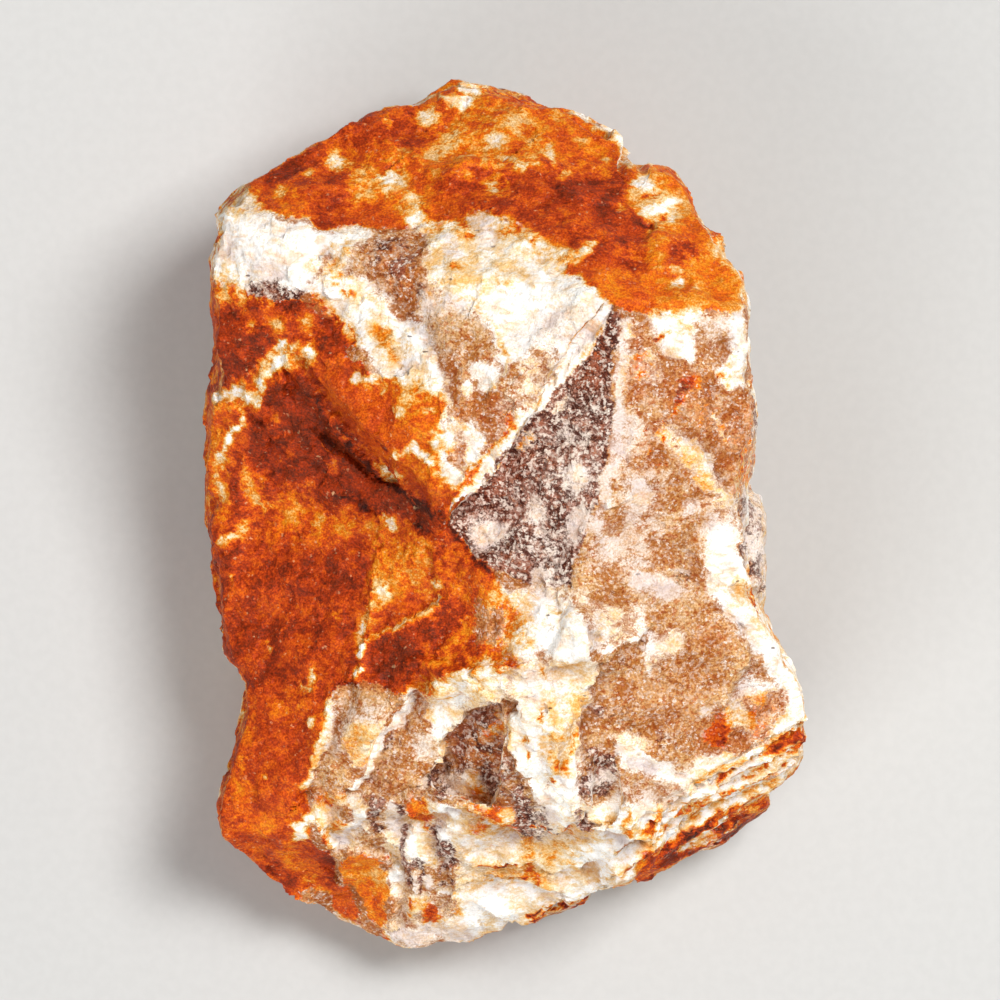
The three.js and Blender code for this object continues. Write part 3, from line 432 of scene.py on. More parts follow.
# The brown shelf, the orange slab below it, and the layers of the lower right side.
SHELF = [
    patch("honey", 0.95, 9.8, -15.2, 14.8, -12.4, 18.6, -13.6, 20.2, -11.2, 22.4, -10.8, 24.8, -13,
          25, -16.6, 24.4, -18.6, 22, -20, 20.6, -23.6, 19.6, -26.4, 16.1, -25.6, 11.1, -23.3, 8.2, -21.4,
          9.5, -17.9),
    patch("smoke", 0.4, 13.4, -13.2, 15, -12.4, 15.1, -17, 12, -16.4, border=1),
    vein("smoke", 0.45, 1.2, 9.2, -20, 12, -21.2, 15, -22.8, 17.4, -24.8),
    patch("rind", 0.25, 14.6, -20, 20, -19.6, 20.6, -23, 16.4, -22.6, border=2),
    patch("ochre", 0.25, 15.4, -15.4, 23, -15.6, 22, -20, 16, -19.8, 11, -21.4, 11.6, -18, border=2.5),
    *spots("ochre", 0.4, 1.1, 20.4, -13, 23.2, -13.4, 21.8, -12.4),
    patch("cream", 0.6, 15.2, -12.2, 18.6, -11.8, 18.4, -14.4, 15.4, -16.4),
    vein("chalk", 0.7, 0.25, 9.6, -14.7, 12, -13.7, 14.8, -12.3, lift=0.12),
    vein("chalk", 0.6, 0.25, 15.1, -12.4, 15.1, -16.8),
    *spots("lilac", 0.9, 0.5, 20.9, -21, 21.6, -20.8),
    patch("honey", 0.55, 25, -14, 27, -14.4, 28.4, -17.6, 25.4, -17.8, border=2),
    *patches({"honey": 0.9, "ochre": 0.58}, 22, -20.6, 24.8, -19, 29.6, -18.4, 29, -21.2, 27.2, -23.4,
             24.8, -24.8, 22.2, -25, 20, -25.4, 20.4, -22.4, border=1),
    patch("rind", 0.45, 22.2, -20.8, 23.2, -21.2, 23.4, -23.6, 22, -24.6, 20.2, -23.6, border=1),
    patch("cream", 0.5, 22.6, -19.8, 24.6, -19.6, 25, -21.4, 23.2, -22, border=0.8),
    *spots("straw", 0.6, 0.8, 25.4, -21.6, 26.8, -19.4),
    vein("rust", 0.8, 0.16, 22.9, -21.6, 22.8, -24.2, lift=-0.2),
    vein("chalk", 0.95, 1.0, 26.8, -12.8, 29, -15.4, 30.2, -17.8, 31.2, -21, lift=0.1),
    # Layers on the lower right side.
    patch("rind", 0.65, 27.2, -23.8, 31.4, -21.8, 31.4, -24, 27.4, -25),
    patch("straw", 0.4, 26.2, -25.8, 30, -25, 29.6, -27.6, 26.6, -28, border=1.6),
    patch("lilac", 0.4, 19.6, -27.4, 26, -25.6, 25.6, -28, 17, -32, 16, -31, border=1.6),
    vein("rust", 0.7, 0.15, 31, -23.6, 27.4, -25, 25, -26, 22.6, -28),
    vein("rust", 0.6, 0.15, 30.6, -24.6, 26.4, -26.8, 22.2, -29, 17.4, -31.2),
    vein("rust", 0.6, 0.15, 30, -26.4, 24.4, -29, 20, -30.6, 15.4, -33.6),
    vein("ochre", 0.5, 0.25, 25, -25.4, 21, -27, 18.6, -29.4, 16, -31),
    vein("ochre", 0.5, 0.3, 29, -28, 24, -29.8, 18, -32.4, 15, -34.8),
    vein("chalk", 0.9, 0.4, 29, -28.6, 22.2, -31.2, 15.6, -34.9, lift=0.1),
    vein("chalk", 0.95, 0.55, 12, -24.6, 14.4, -25.6, 17, -26.8, 19.4, -28.1, lift=0.2),
    patch("chalk", 0.95, 11.6, -24.2, 14, -24.7, 17, -26.4, 19.6, -28.3, 17, -27.6, 13.6, -27, 12.2, -26),
    patch("cream", 0.6, 10.6, -22.6, 14.6, -23.4, 15, -24.4, 11.4, -24),
    patch("smoke", 0.75, 8.2, -24.4, 11.6, -24.8, 12.2, -27.6, 10.4, -29.4, 8.2, -29.6),
    *spots("lilac", 0.6, 0.8, 11, -27.4, 9.4, -28.2),
    *patches({"honey": 0.8, "lilac": 0.4}, 12.4, -27.2, 19.1, -28.4, 17.6, -30.4, 10.8, -30),
    *spots("straw", 0.5, 1.2, 11, -32, 14.2, -33),
    *spots("chalk", 0.9, 1.1, 11.6, -30.8, 14.6, -31.8),
    vein("rind", 0.8, 0.3, 13, -30.8, 12.7, -33.6),
    vein("rind", 0.7, 0.25, 16.2, -31, 15, -33.2),
    patch("rust", 0.8, 13.2, -38.6, 14.5, -35.8, 18, -33.7, 22, -31.5, 26, -30, 30, -28.7, 30, -31, 24, -36,
          16.1, -40, border=0.7),
    patch("umber", 0.3, 17.4, -36, 18, -34.2, 24, -31, 26.4, -30.6, 25.6, -32.8, 20, -35.4, border=1.6),
    patch("ochre", 0.5, 24.6, -30.8, 27, -29.4, 29.6, -29, 29, -30.6, 26, -32.4, border=1.2),
    patch("ochre", 0.45, 13.4, -38.4, 14.8, -35.8, 16.6, -34.9, 17, -36.6, 15, -38.6, border=1.2),
    patch("lilac", 0.75, 18.4, -35.8, 19.6, -34, 22, -33, 22.6, -34, 20.8, -35.4, border=0.8),
    *spots("chalk", 0.8, 0.5, 20.4, -34.4, 21.2, -33.6, 23.8, -33.2),
]

# The white knuckle, and the dome below it.
KNUCKLE = [
    patch("straw", 0.6, -1.4, -6.6, 3, -7.6, 4.4, -10, 4, -15, 0, -16, -2, -12, border=2),
    patch("ochre", 0.4, -0.4, -11, 3, -11.4, 3.6, -14, 0.4, -14.2, border=1.6),
    patch("honey", 0.4, -3.4, -9, 0, -9.4, 0.6, -13.6, -3, -14, border=2),
    patch("chalk", 0.6, 0, -7.4, 4.6, -8.4, 4.6, -10, 1, -9.6, border=2),
    patch("chalk", 0.4, 0.6, -11.6, 2.4, -9, 6, -9, 8, -11, 8.6, -15, 4, -16.4, 0, -15.6, border=2.5),
    patch("chalk", 0.95, 3.6, -9, 6.6, -9.4, 8.6, -11.4, 9.2, -13.4, 8.8, -15.2, 5.8, -15, 3.6, -13,
          border=1.8),
    *spots("straw", 0.45, 0.8, 6, -10, 4.4, -11.6),
    patch("cream", 0.7, -9.7, -18.4, -5, -16.6, 0, -15.6, 8.6, -15.2, 8.6, -18.6, 0.6, -19.4, -3, -20.6,
          -5, -22),
    *spots("chalk", 0.8, 1.3, -4.2, -17.4, -1.4, -16.6, -5.6, -19, 2.4, -18),
    *spots("straw", 0.6, 1.2, 6.4, -16.8, -2, -18.4),
    *spots("rind", 0.5, 0.7, 0.8, -15.6, -0.6, -15.9, 4.2, -16.8),
    patch("rind", 0.4, -9.6, -17.6, -7.4, -17.6, -7.6, -20, -9.6, -20, border=1),
    patch("cream", 0.8, 7.4, -15.4, 10, -15.4, 9.4, -18, 8.4, -21, 7, -21, 6.4, -17, border=1.2),
    patch("straw", 0.4, 7.4, -16, 9.2, -16, 8.6, -20, 7.4, -20, border=1.2),
    patch("chalk", 0.88, 1.6, -19.2, 4, -17.8, 8.4, -18.4, 8, -23, 8, -29, 7.2, -33, 4.6, -31.6, 2.6, -27.8,
          0.6, -25, -0.6, -22.6),
    patch("straw", 0.5, 4.4, -19, 8.4, -18.4, 8, -23, 7.6, -27, 4.6, -27.4, 4, -24, border=2),
    patch("ochre", 0.3, 5.4, -23.6, 7.2, -24, 6.8, -27, 5.6, -27.6, 5, -25.4, border=1.2),
    *spots("straw", 0.6, 1.2, 5.6, -25.4, 5, -24),
    vein("ochre", 0.6, 0.45, 7.3, -22.6, 7, -24.8, 6.4, -26.6, lift=-0.2),
    vein("honey", 0.6, 0.3, 4.4, -27.4, 3.8, -30),
    *spots("rust", 0.9, 0.3, 2.3, -23.9, 4, -21.1, 2.6, -25.2, 5, -27.6, 5.6, -26, lift=-0.15),
    patch("smoke", 0.85, 1.2, -29, 2.8, -29.6, 2.6, -33.6, 1.2, -33.4, border=0.8),
    crack("umber", 0.9, -1, -28.3, 0.2, -29, 1.4, -29.8),
    patch("rind", 0.5, 1.2, -29, 2.8, -29.6, 2.6, -33.6, 1.2, -33.4, border=0.8),
    patch("smoke", 0.65, 2, -30.6, 4.4, -31, 6.4, -33.6, 2, -33.9, border=1.4),
    *spots("lilac", 0.85, 0.8, 5.2, -31.6, 4.6, -29.6),
    *patches({"smoke": 0.8, "rind": 0.45}, 7.6, -30.4, 9.8, -32.8, 7.4, -33.2, border=0.8),
    crack("umber", 0.9, 2.8, -32.6, 4.8, -33.2, 6, -33.6),
    patch("rind", 0.3, 5.6, -32.4, 7.4, -32.4, 7.2, -34.4, 6, -34.4, border=1.2),
]

# The slabs and the dark hollow at the lower left, and the ochre boss.
HOLLOW = [
    patch("honey", 0.8, -17.6, -18.8, -13.6, -18, -10.3, -19, -10.6, -21, -13, -24.4, -13.4, -26.4,
          -16, -29, -20.6, -29.4, -19.6, -26.2, -18, -23),
    patch("lilac", 0.35, -17.8, -19.4, -11, -20, -12, -22.6, -15, -23.4, -17.4, -26, -18.6, -24, border=2),
    patch("straw", 0.8, -16.6, -21.6, -12.6, -21.6, -13, -25, -15.6, -27.4, -17.2, -24.6, border=1.6),
    patch("cream", 0.6, -15, -22.6, -12.6, -22, -13, -24.4, -14.8, -25, border=1.5),
    vein("ochre", 0.6, 0.7, -20.6, -28.8, -19, -29.4, -17, -29.6),
    vein("cream", 0.8, 0.4, -17.9, -19.6, -18.1, -22.4, -19.4, -25.4, -20.6, -28.4, lift=0.15),
    patch("honey", 0.95, -10.8, -21.4, -8.6, -21.8, -6.4, -22.6, -6.4, -25, -8.2, -28, -9.6, -29.2,
          -11, -29.8, -13.4, -29.4, -14.6, -28, -13, -25.6),
    # Dark smoke along the gap between the two slabs: painted shade in the gap, and the dark brown top of
    # the second slab.
    patch("smoke", 0.6, -10.6, -21.2, -9.4, -22.4, -11.8, -25.4, -13.2, -26, -12, -23.6, border=0.8),
    patch("lilac", 0.5, -10, -22.8, -7, -22.6, -7.4, -25.6, -10, -26.4, border=1.6),
    patch("ochre", 0.2, -13.6, -26.6, -10, -26.6, -9.4, -29, -13.4, -29.2, border=1.6),
    vein("chalk", 0.95, 0.4, -9.7, -18.8, -10.3, -20.6, -12.4, -23, -13.5, -25.4, -14.6, -27.6,
         -15.8, -28.6, lift=0.25),
    patch("chalk", 0.8, -8.6, -20.4, -6.6, -20, -4.4, -21.4, -6.2, -24, -7.6, -22.8),
    *spots("straw", 0.7, 0.9, -7.8, -21.2),
    vein("cream", 0.95, 0.4, -4.6, -21.6, -6, -24, -7.4, -26.6, -8.4, -28.4, lift=0.25),
    patch("smoke", 0.55, -0.4, -19.4, -3, -20.8, -4.8, -22.4, -5.6, -24.6, -7, -26.6, -8.6, -29,
          -6.4, -29.6, -3.4, -28.2, -1, -29.2, 3.4, -30.4, 2.4, -28, 0.4, -25, -0.8, -22.6, 1.2, -19.8,
          border=0.8),
    patch("rind", 0.45, -5.4, -23.6, -1.6, -20.4, 0.4, -21, 0.4, -26, -2, -28, -5.6, -26.6, border=1.5),
    *spots("straw", 0.6, 0.8, -1.2, -22.8, -0.6, -20.8),
    patch("lilac", 0.6, -6.6, -27.4, -3, -26.6, -1.6, -29, -5.6, -29.8, border=1.4),
    *spots("straw", 0.4, 1.0, -3.6, -28.4, -0.8, -29.8),
    patch("rind", 0.5, -3.4, -29.6, 1.4, -29.8, 1.2, -33.4, -3, -33.4, border=1.6),
    *spots("chalk", 0.8, 0.8, 0.4, -31.6, -1.2, -33),
    # A cream spot on a small white facet that faces the light, toned down from white as painted shade.
    *spots("cream", 0.5, 0.7, -2.4, -30.9),
    *spots("ochre", 0.7, 0.7, -2.2, -29, -4.4, -31, -0.4, -32.6),
    patch("rind", 0.7, -10.2, -29.8, -7.8, -29.8, -7.6, -31.8, -9.8, -31.6),
    patch("honey", 0.8, -14.2, -29.2, -12.4, -29.4, -12.2, -33, -11.6, -35.6, -14, -36, -13.4, -33.4,
          border=1),
    patch("smoke", 0.75, -14, -29.4, -12.6, -29.8, -12.6, -33.4, -13.2, -34, -13.9, -31.6, border=0.8),
    vein("lilac", 0.9, 0.7, -11.6, -30.6, -11.4, -33.6, lift=0.15),
    vein("cream", 0.6, 0.5, -12, -33.8, -11.8, -36.2),
    patch("smoke", 0.85, -11.4, -30, -10.2, -30, -10.2, -31.8, -11.2, -31.6, border=0.7),
    patch("rind", 0.6, -10, -29.8, -8, -29.8, -7.9, -32.4, -7.4, -33.8, -8.6, -33, -9.8, -31.8, border=1),
    vein("smoke", 0.85, 0.4, -10.4, -33, -10.4, -34.6, -10.2, -36.8, lift=-0.2),
    patch("chalk", 0.85, -9.8, -32.2, -8.6, -32.8, -7.8, -34.4, -8, -36.2, -9.4, -36, -9.9, -34.4,
          border=0.8, lift=0.2),
    patch("smoke", 0.85, -8.2, -32.4, -6.6, -32.8, -5.4, -34.2, -5.4, -36.6, -6.6, -36.4, -7.2, -34.6,
          border=0.8),
    patch("honey", 0.8, -7, -36.4, -5.2, -36.4, -5.4, -39.4, -7, -39.4, border=0.8),
    *spots("smoke", 0.8, 0.5, -6.4, -37.2, -5.8, -38.4, -6.6, -38.8, -5.6, -36.8),
    *spots("chalk", 0.85, 0.9, -6.4, -31, -5.2, -31.4, -6.2, -33.4, -5, -33.2),
    *spots("straw", 0.6, 0.6, -4.6, -30.6, -7, -30.2, -3.4, -34.6),
    patch("honey", 0.7, -15.6, -33.6, -14, -33.4, -13.6, -35.2, -15.6, -35.2, border=0.8),
    patch("straw", 0.6, -20.8, -30.2, -15, -29.8, -14.6, -31, -19.6, -31.4),
    patch("cream", 0.8, -19, -31, -16, -30, -14.4, -31, -15.2, -33.4, -16.8, -35, -18, -33.8, border=0.8),
    vein("chalk", 0.95, 0.4, -20.4, -32, -19.4, -31.2, -18.4, -33.2, -17.2, -34.8, -15.8, -33.6,
         -14.4, -31.6, lift=0.2),
    crack("rust", 0.8, -18.4, -30.6, -17, -31.2, -16.6, -32.4),
    crack("umber", 0.7, -15.9, -30.4, -15.7, -32.2),
    patch("rust", 0.5, -19.4, -32, -18.6, -32.8, -17.8, -35.2, -17.9, -37.4, -19, -37.4, -19, -34.6,
          border=1),
    *spots("ochre", 0.8, 0.8, -17.3, -32.9),
    *spots("honey", 0.7, 0.8, -16.4, -31.6, -17.4, -31.2),
    *spots("chalk", 0.85, 0.6, -21.4, -32.6, -21.2, -33.6, lift=0.15),
    patch("rust", 0.5, -19.8, -34.6, -18, -35.4, -17.4, -38.6, -18.8, -39, border=1),
    patch("ochre", 0.97, -17.3, -36.4, -16.2, -35.5, -14.6, -35.2, -13, -36, -11.9, -37.2, -11.7, -39,
          -11.3, -40.4, -11.9, -42.2, -13, -42.8, -14.4, -41.4, -15.2, -40, -16.4, -38.9, -17.1, -37.8,
          border=0.9, lift=0.2),
    patch("straw", 0.12, -16.6, -36.2, -13, -36, -12, -38.6, -14.6, -40, -16.4, -38.4, border=1.4),
    patch("straw", 0.3, -13.8, -36.2, -12, -37.2, -11.6, -41.6, -13.2, -41.8, -14.2, -39, border=1.2),
    *spots("rind", 0.6, 0.7, -14.2, -38.6, -14.8, -39.4, -16, -36.6, -12.8, -40.8, -15.4, -40.2),
    *spots("rust", 0.6, 0.3, -17, -39.9, -14.6, -42, -12.4, -35.9),
]

# The southern rim.
SOUTH = [
    # White teeth in a brown bed.
    patch("smoke", 0.85, -11, -36.4, -8.4, -36.2, -8.2, -37.4, -10.9, -37.5, border=0.7),
    patch("honey", 0.8, -10.9, -37.4, -7.2, -37, -7, -39.6, -10.6, -39.8, border=0.8),
    vein("smoke", 0.85, 0.3, -10, -37.4, -9.9, -39.6, lift=-0.2),
    vein("smoke", 0.85, 0.25, -8.5, -37, -8.5, -39.4, lift=-0.2),
    vein("lilac", 0.95, 0.35, -9.3, -37.6, -9.1, -39.2, lift=0.25),
    vein("lilac", 0.95, 0.35, -7.9, -37.8, -7.7, -39.2, lift=0.25),
    vein("chalk", 0.95, 0.32, -11.4, -37.8, -11.1, -39.8, lift=0.15),
    *spots("chalk", 0.9, 0.5, -6.4, -40.1, -5.4, -40.2, lift=0.1),
    # Red and yellow spots under them, and the greyish rim.
    patch("honey", 0.5, -12, -40, -5, -40, -5, -42.6, -12, -42.4, border=1.6),
    patch("rind", 0.9, -8.6, -41, -7.4, -40.8, -6.2, -42.4, -8.4, -42.8, border=0.8),
    *spots("rind", 0.7, 0.4, -9.7, -40.6, -9.7, -41.4),
    *spots("straw", 0.7, 0.5, -8.9, -40.6, -8.2, -40.4),
    *spots("rind", 0.8, 1.0, -16.6, -41, -15.4, -42.2, -17, -39.6),
    patch("honey", 0.8, -15.4, -42, -12, -42.4, -11.6, -45, -15, -45, border=1),
    patch("rust", 0.4, -15.4, -42, -12, -42.4, -12.2, -44.2, -15, -44.6, border=1.2),
    patch("lilac", 0.8, -11.6, -42.7, -4, -42.8, -2.6, -43.8, -5.5, -47, -12, -46.4),
    patch("honey", 0.55, -11, -43.4, -6, -43.6, -5.4, -47, -12, -46.4, border=1.4),
    patch("straw", 0.6, -5.2, -38.8, -3, -39.6, -3, -42.4, -4.8, -42.6, border=1.6),
    *spots("ochre", 0.5, 0.7, -4.6, -40.4, -4.6, -41.8, -12.2, -43.6),
    # Thin yellow layers, with a box-like recess among them.
    patch("lilac", 0.5, -4.8, -33.8, 1.4, -34, 1.6, -36.4, -4, -36.4, border=1.4),
    patch("cream", 0.55, -3.6, -34.6, 3, -34.4, 10, -34.6, 9, -38.6, 3, -39.2, -2.6, -38.8, border=1.6),
    *patches({"honey": 0.5, "straw": 0.7}, -2.6, -36.8, 2.4, -36.8, 2, -38.2, -2.4, -38.3, border=0.8),
    crack("umber", 0.8, -2.4, -36.7, 0.4, -36.6, 2.4, -36.7),
    crack("rust", 0.8, -1, -38.4, 1.4, -38.4, 2.6, -38.1),
    patch("ochre", 0.5, -0.2, -38.3, 2, -38.4, 1, -39.4, border=0.8),
    patch("rind", 0.65, 2.2, -36.7, 3.2, -36.6, 3.9, -37.8, 3, -38.4, 2.4, -37.6, border=0.9),
    vein("ochre", 0.5, 0.6, 2.4, -33.8, 2.6, -35.4, 2.6, -36.4),
    vein("straw", 0.6, 0.7, 4.4, -35.2, 5, -37, 4.6, -38.8),
    vein("ochre", 0.35, 0.3, 5.6, -33.8, 5.2, -36.4),
    *spots("rust", 0.6, 0.4, 7.3, -35.4, 7.4, -36.4),
    *spots("straw", 0.6, 0.9, 7.2, -36.4, 6.2, -34.6, 9.2, -35.2),
    crack("rust", 0.4, 3.6, -38.2, 3.4, -39.4),
    crack("rust", 0.4, 8.4, -38.6, 10, -37.2, 12, -35.8),
    crack("rust", 0.35, 9, -39.2, 11, -37.8, 13, -36.8),
    crack("ochre", 0.6, 5.6, -40.6, 7, -39.8, 8.4, -38.8),
    patch("chalk", 0.9, -4.4, -40, -2, -38.9, 4, -39.4, 9, -39, 8, -40.6, 3, -43, -3.4, -44.4, -4.4, -42.6),
    patch("straw", 0.2, -2.4, -41.6, 3, -41, 6, -40.4, 4, -43, -2, -43.6, border=2.4),
    patch("chalk", 0.7, 7.6, -34.8, 13, -33.6, 13.6, -36.6, 12.4, -38.8, 7.6, -40, 5, -39.4, 7, -37.4,
          border=2),
    # The red flakes on the lower left, and the brown slab under the rim.
    *spots("rust", 0.4, 1.2, -24.4, -37.2, -22.4, -38.8),
    *spots("straw", 0.5, 0.7, -19, -40, -20, -38.6),
    vein("lilac", 0.8, 0.6, -20, -42.2, -17, -42.8, -15.4, -43.6),
    patch("honey", 0.6, -21.4, -39.6, -18.4, -40, -17.6, -42, -21.4, -42, border=1.2),
    patch("rust", 0.95, 2.8, -43.2, 5, -41.9, 8.4, -40.4, 9.6, -41, 6.4, -43.6, 3.2, -44.6, border=0.7),
    crack("umber", 0.9, 2.6, -42.5, 4.6, -41.7, 6.4, -41.2),
    vein("cream", 0.8, 0.2, 3.4, -42.6, 4.8, -42.1, 5.8, -41.8),
]

STAINS = [
    *FIELDS, *CRUST, *SHOULDER, *ROOF, *LEFT, *FLANK, *WINDOW, *RIGHT_FACE, *SHELF, *KNUCKLE, *HOLLOW,
    *SOUTH,
]

# Ledges: the skin stands proud on the left of a line, walking along it, and drops to the right of it.
# Each has the height of that drop, and how far from the line the skin is back where it was.
Ledge = namedtuple("Ledge", "drop reach points")
LEDGE_SLOPE = 0.35  # half the width of the drop


def ledge(drop, reach, *numbers):
    """A ledge along the points."""
    return Ledge(drop, reach, pairs(numbers))


LEDGES = [
    # The two slabs west of the dark hollow, and the dark hollow's own rim.
    ledge(1.2, 3.0, -15.4, -28.4, -13.05, -26.2, -13.25, -25, -12.05, -22.3, -10.3, -20.1, -9.7, -17.9),
    ledge(1.5, 3.0, -8.5, -28, -7.1, -26.2, -6.1, -23.9, -4.1, -20.9, -1.6, -19.6, 0.6, -19.2),
    ledge(0.8, 2.5, -2.7, -27.8, -5.7, -27, -8.5, -28.2, -10.7, -29.8, -13.2, -29.4, -14.8, -28.2),
    ledge(0.9, 2.5, -21.4, -30.2, -20.2, -28.4, -19.6, -26.4, -18.4, -23.3, -17.6, -20.9, -16.4, -18.4),
    # White lumps and the ochre boss at the lower left.
    ledge(1.1, 2.4, -14.4, -33.2, -16, -34.6, -17.2, -35.2, -18.6, -33.2, -18.8, -30.8),
    ledge(0.8, 2.2, -11.2, -41.6, -11.4, -38, -12.2, -35.9, -14.6, -34.9, -17, -35.9, -17.2, -37.4),
    ledge(0.7, 2.0, -6.2, -32.6, -6.9, -34.6, -5.9, -37, -5.7, -39.4),
    ledge(0.6, 2.0, -10, -33.4, -10.7, -36.2, -9.6, -38.4),
    ledge(0.8, 2.5, -2.6, -36.8, 2.4, -36.6, 5.6, -37.6, 8.6, -36.6),
    ledge(0.6, 2.5, -3.4, -38.6, 1.6, -38.4, 6, -40.2),
    ledge(0.9, 2.6, -9, -31.4, -4.6, -30.6, 1.7, -33.4, 5.8, -33.6, 7.6, -31.2, 9.5, -32.4, 14, -34),
    # Knuckle and dome.
    ledge(0.5, 2.6, 0, -16.6, 3, -15.8, 6.6, -15.6, 9.2, -15.2, 9, -13.6, 8.2, -11.6),
    ledge(0.8, 2.2, 7.8, -31.7, 7.6, -29.7, 7.8, -26.6, 8.1, -23.5, 7.8, -21.6),
    ledge(0.6, 2.0, 1.2, -20, 0.2, -23.5, 0.8, -25.6, 2.3, -27.6, 3.7, -29.7),
    ledge(0.5, 1.6, 5.8, -28.6, 5.4, -25.4, 6.2, -22.8, 5.4, -19.6),
    # The brown shelf: its upper edge, its rim, the white shard below it and the orange slab.
    ledge(0.7, 2.8, 7.8, -20.6, 10.3, -15.9, 14.8, -12.2),
    ledge(0.6, 2.4, 23.4, -19.4, 25.5, -15.9, 24.9, -12.8, 22.2, -10.7),
    ledge(0.8, 2.2, 19.6, -28.3, 17.3, -27, 14, -27, 11.9, -25.4),
    ledge(0.5, 1.8, 11.7, -24.2, 15, -25.4, 19.3, -27.4),
    ledge(0.6, 2.2, 29.2, -19, 26.9, -21.6, 25.5, -23.4, 22.9, -24),
    ledge(0.5, 1.6, 22.4, -20.6, 22.9, -24.4),
    # Layers on the lower right side.
    ledge(1.0, 1.6, 16.1, -31.3, 19.4, -28.9, 25.3, -25.6, 31.3, -21.9),
    ledge(0.8, 1.4, 16.7, -31.7, 22.2, -28.9, 26.3, -26.6, 31.3, -23.9),
    ledge(0.9, 1.6, 15.2, -33.8, 20.2, -30.9, 24.3, -29.3, 30.5, -25.6),
    ledge(0.5, 1.6, 12.8, -30.3, 13, -34.2),
    ledge(0.5, 1.6, 15.7, -31.5, 14.8, -34.2),
    # The crown: its roof's thin plates, the lip above the window and the rims over the groove.
    ledge(0.35, 2.6, 6.8, 21.2, 4.6, 19, 1.4, 16.4, -1.4, 12.6),
    ledge(0.5, 2.2, 10.6, 20.4, 6.9, 15.7, 4.2, 12.4, 1, 10.6),
    ledge(0.7, 3.0, -6.2, 11.6, -7.4, 15.8, -10.6, 20.2, -14.2, 23.6, -18.6, 26.2),
    ledge(0.8, 2.4, -4.4, -0.4, -6.4, 0, -11.7, 3.7, -16, 7.6, -19.4, 12.3, -21.4, 14.8),
    ledge(0.6, 2.4, -24.8, 10.4, -22.4, 14.2, -20.6, 16.6, -15.8, 14.8),
    # The flank's slanting steps, and the right face's white step.
    ledge(0.5, 2.6, -6.7, -9.1, -9.7, -11.1, -12.5, -12.5, -14.3, -13.2),
    ledge(0.6, 2.4, -13.2, -5, -14.2, -8.4, -14.8, -12.4, -15.4, -17.4),
    ledge(0.7, 2.8, 24.2, -2.4, 23.3, 1.4, 21.7, 3.8, 20.3, 6.2, 17.1, 8.4),
    ledge(0.5, 2.4, 16.4, 20, 17.4, 16.2, 20.6, 15.2, 21.8, 12.4, 21.4, 9),
    ledge(0.5, 2.2, 26.2, 19.4, 23, 16, 22.6, 13.4, 24.6, 9.6),
    ledge(0.6, 2.4, 22, -1, 19.6, -2.4, 19.7, -4.6, 21.9, -7, 26.4, -8),
]

# A gully in the north-east rim that is silted up to the slope beside it: its middle, how far around that
# the silt thins out, over what height it starts, how full it is, the height of the slope there, and how
# much the slope falls to the north.
GULLY, GULLY_REACH, GULLY_START = (14.0, 35.1), (1.2, 3.0), (13, 18)
GULLY_FILL, GULLY_BRIM, GULLY_FALL = 0.9, 26.8, 1.1

# The lower ledge's tip is worn round: the round's middle and radius, how much of what stands out of it
# is gone, and over what stretch the tip begins at its top, in the west and in the north.
TIP_MIDDLE, TIP_RADIUS, TIP_WEAR = (22.0, -27.0), 6.5, 0.65
TIP_TOP, TIP_WEST, TIP_NORTH = (9.5, 8.0), (23, 26), (-27, -29)

# Where the rim of the foot is pushed: the place, how far around it the push reaches, and the push, in
# the XY plane.
Push = namedtuple("Push", "place reach way")
PUSHES = [
    Push((-10.8, -44.2), 6.0, (-0.3, -1.5)),
    Push((0.8, -43.8), 1.3, (0.0, 0.9)),
    Push((12.2, -38.2), 2.6, (0.5, -0.7)),
]


# ---------------------------------------------------------------- random fields over the skin


def ease(low, high, value):
    """From 0 at low to 1 at high, without a corner at either end."""
    share = np.clip((value - low) / (high - low), 0, 1)
    return share * share * (3 - 2 * share)


class Swell:
    """Smooth noise in space, from about -1 to 1. Its length is that of one swell."""

    def __init__(self, seed, length):
        draw = np.random.default_rng(seed)
        self.length = length
        self.order = draw.permutation(256)
        slopes = draw.normal(size=(256, 3))
        self.slopes = slopes / np.linalg.norm(slopes, axis=1, keepdims=True)

    def __call__(self, points):
        scaled = points / self.length
        corner = np.floor(scaled).astype(int)
        inside = scaled - corner
        curve = inside**3 * (inside * (inside * 6 - 15) + 10)
        total = np.zeros(len(points))
        for step in itertools.product((0, 1), repeat=3):
            x, y, z = ((corner + step) & 255).T
            slope = self.slopes[self.order[(self.order[(self.order[x] + y) & 255] + z) & 255]]
            weight = np.where(step, curve, 1 - curve).prod(axis=1)
            total += weight * ((inside - step) * slope).sum(axis=1)
        return 1.7 * total


def rough(points, seed, length, octaves=3, fall=0.55):
    """Swells of falling length and height, added up."""
    return sum(fall**i * Swell(seed + i, length / 2**i)(points) for i in range(octaves))


# The calcite's three cleavage directions, which its facets follow, and how much a facet may lean and
# stand out, in shares of its size.
CLEAVAGE = np.array([[0.58, 0.8, 0.12], [-0.72, 0.62, -0.3], [0.24, -0.06, 0.97]])
FACET_LEAN, FACET_STEP = 2.2, 0.6
# The facets' sizes in millimetres, each with its seed and its share of the relief.
FACET_SIZES = ((3, 4.8, 1.0), (4, 2.3, 0.6), (5, 1.2, 0.35))


def facets(points, seed, size):
    """Height of small tilted planes, one to a rhombic cell, in shares of the cell's size."""
    table = np.random.default_rng(seed).random((4096, 7))
    turned = points @ CLEAVAGE.T / size
    home = np.floor(turned).astype(int)
    nearest = np.full(len(points), np.inf)
    height = np.zeros(len(points))
    for step in itertools.product((-1, 0, 1), repeat=3):
        cell = home + step
        row = table[(cell @ [1619, 31337, 6971]) & 4095]
        gap = turned - (cell + row[:, :3])
        distance = np.abs(gap).max(axis=1)
        closer = distance < nearest
        nearest[closer] = distance[closer]
        tilted = FACET_LEAN * (gap * (row[:, 3:6] - 0.5)).sum(axis=1) + FACET_STEP * (row[:, 6] - 0.5)
        height[closer] = tilted[closer]
    return height


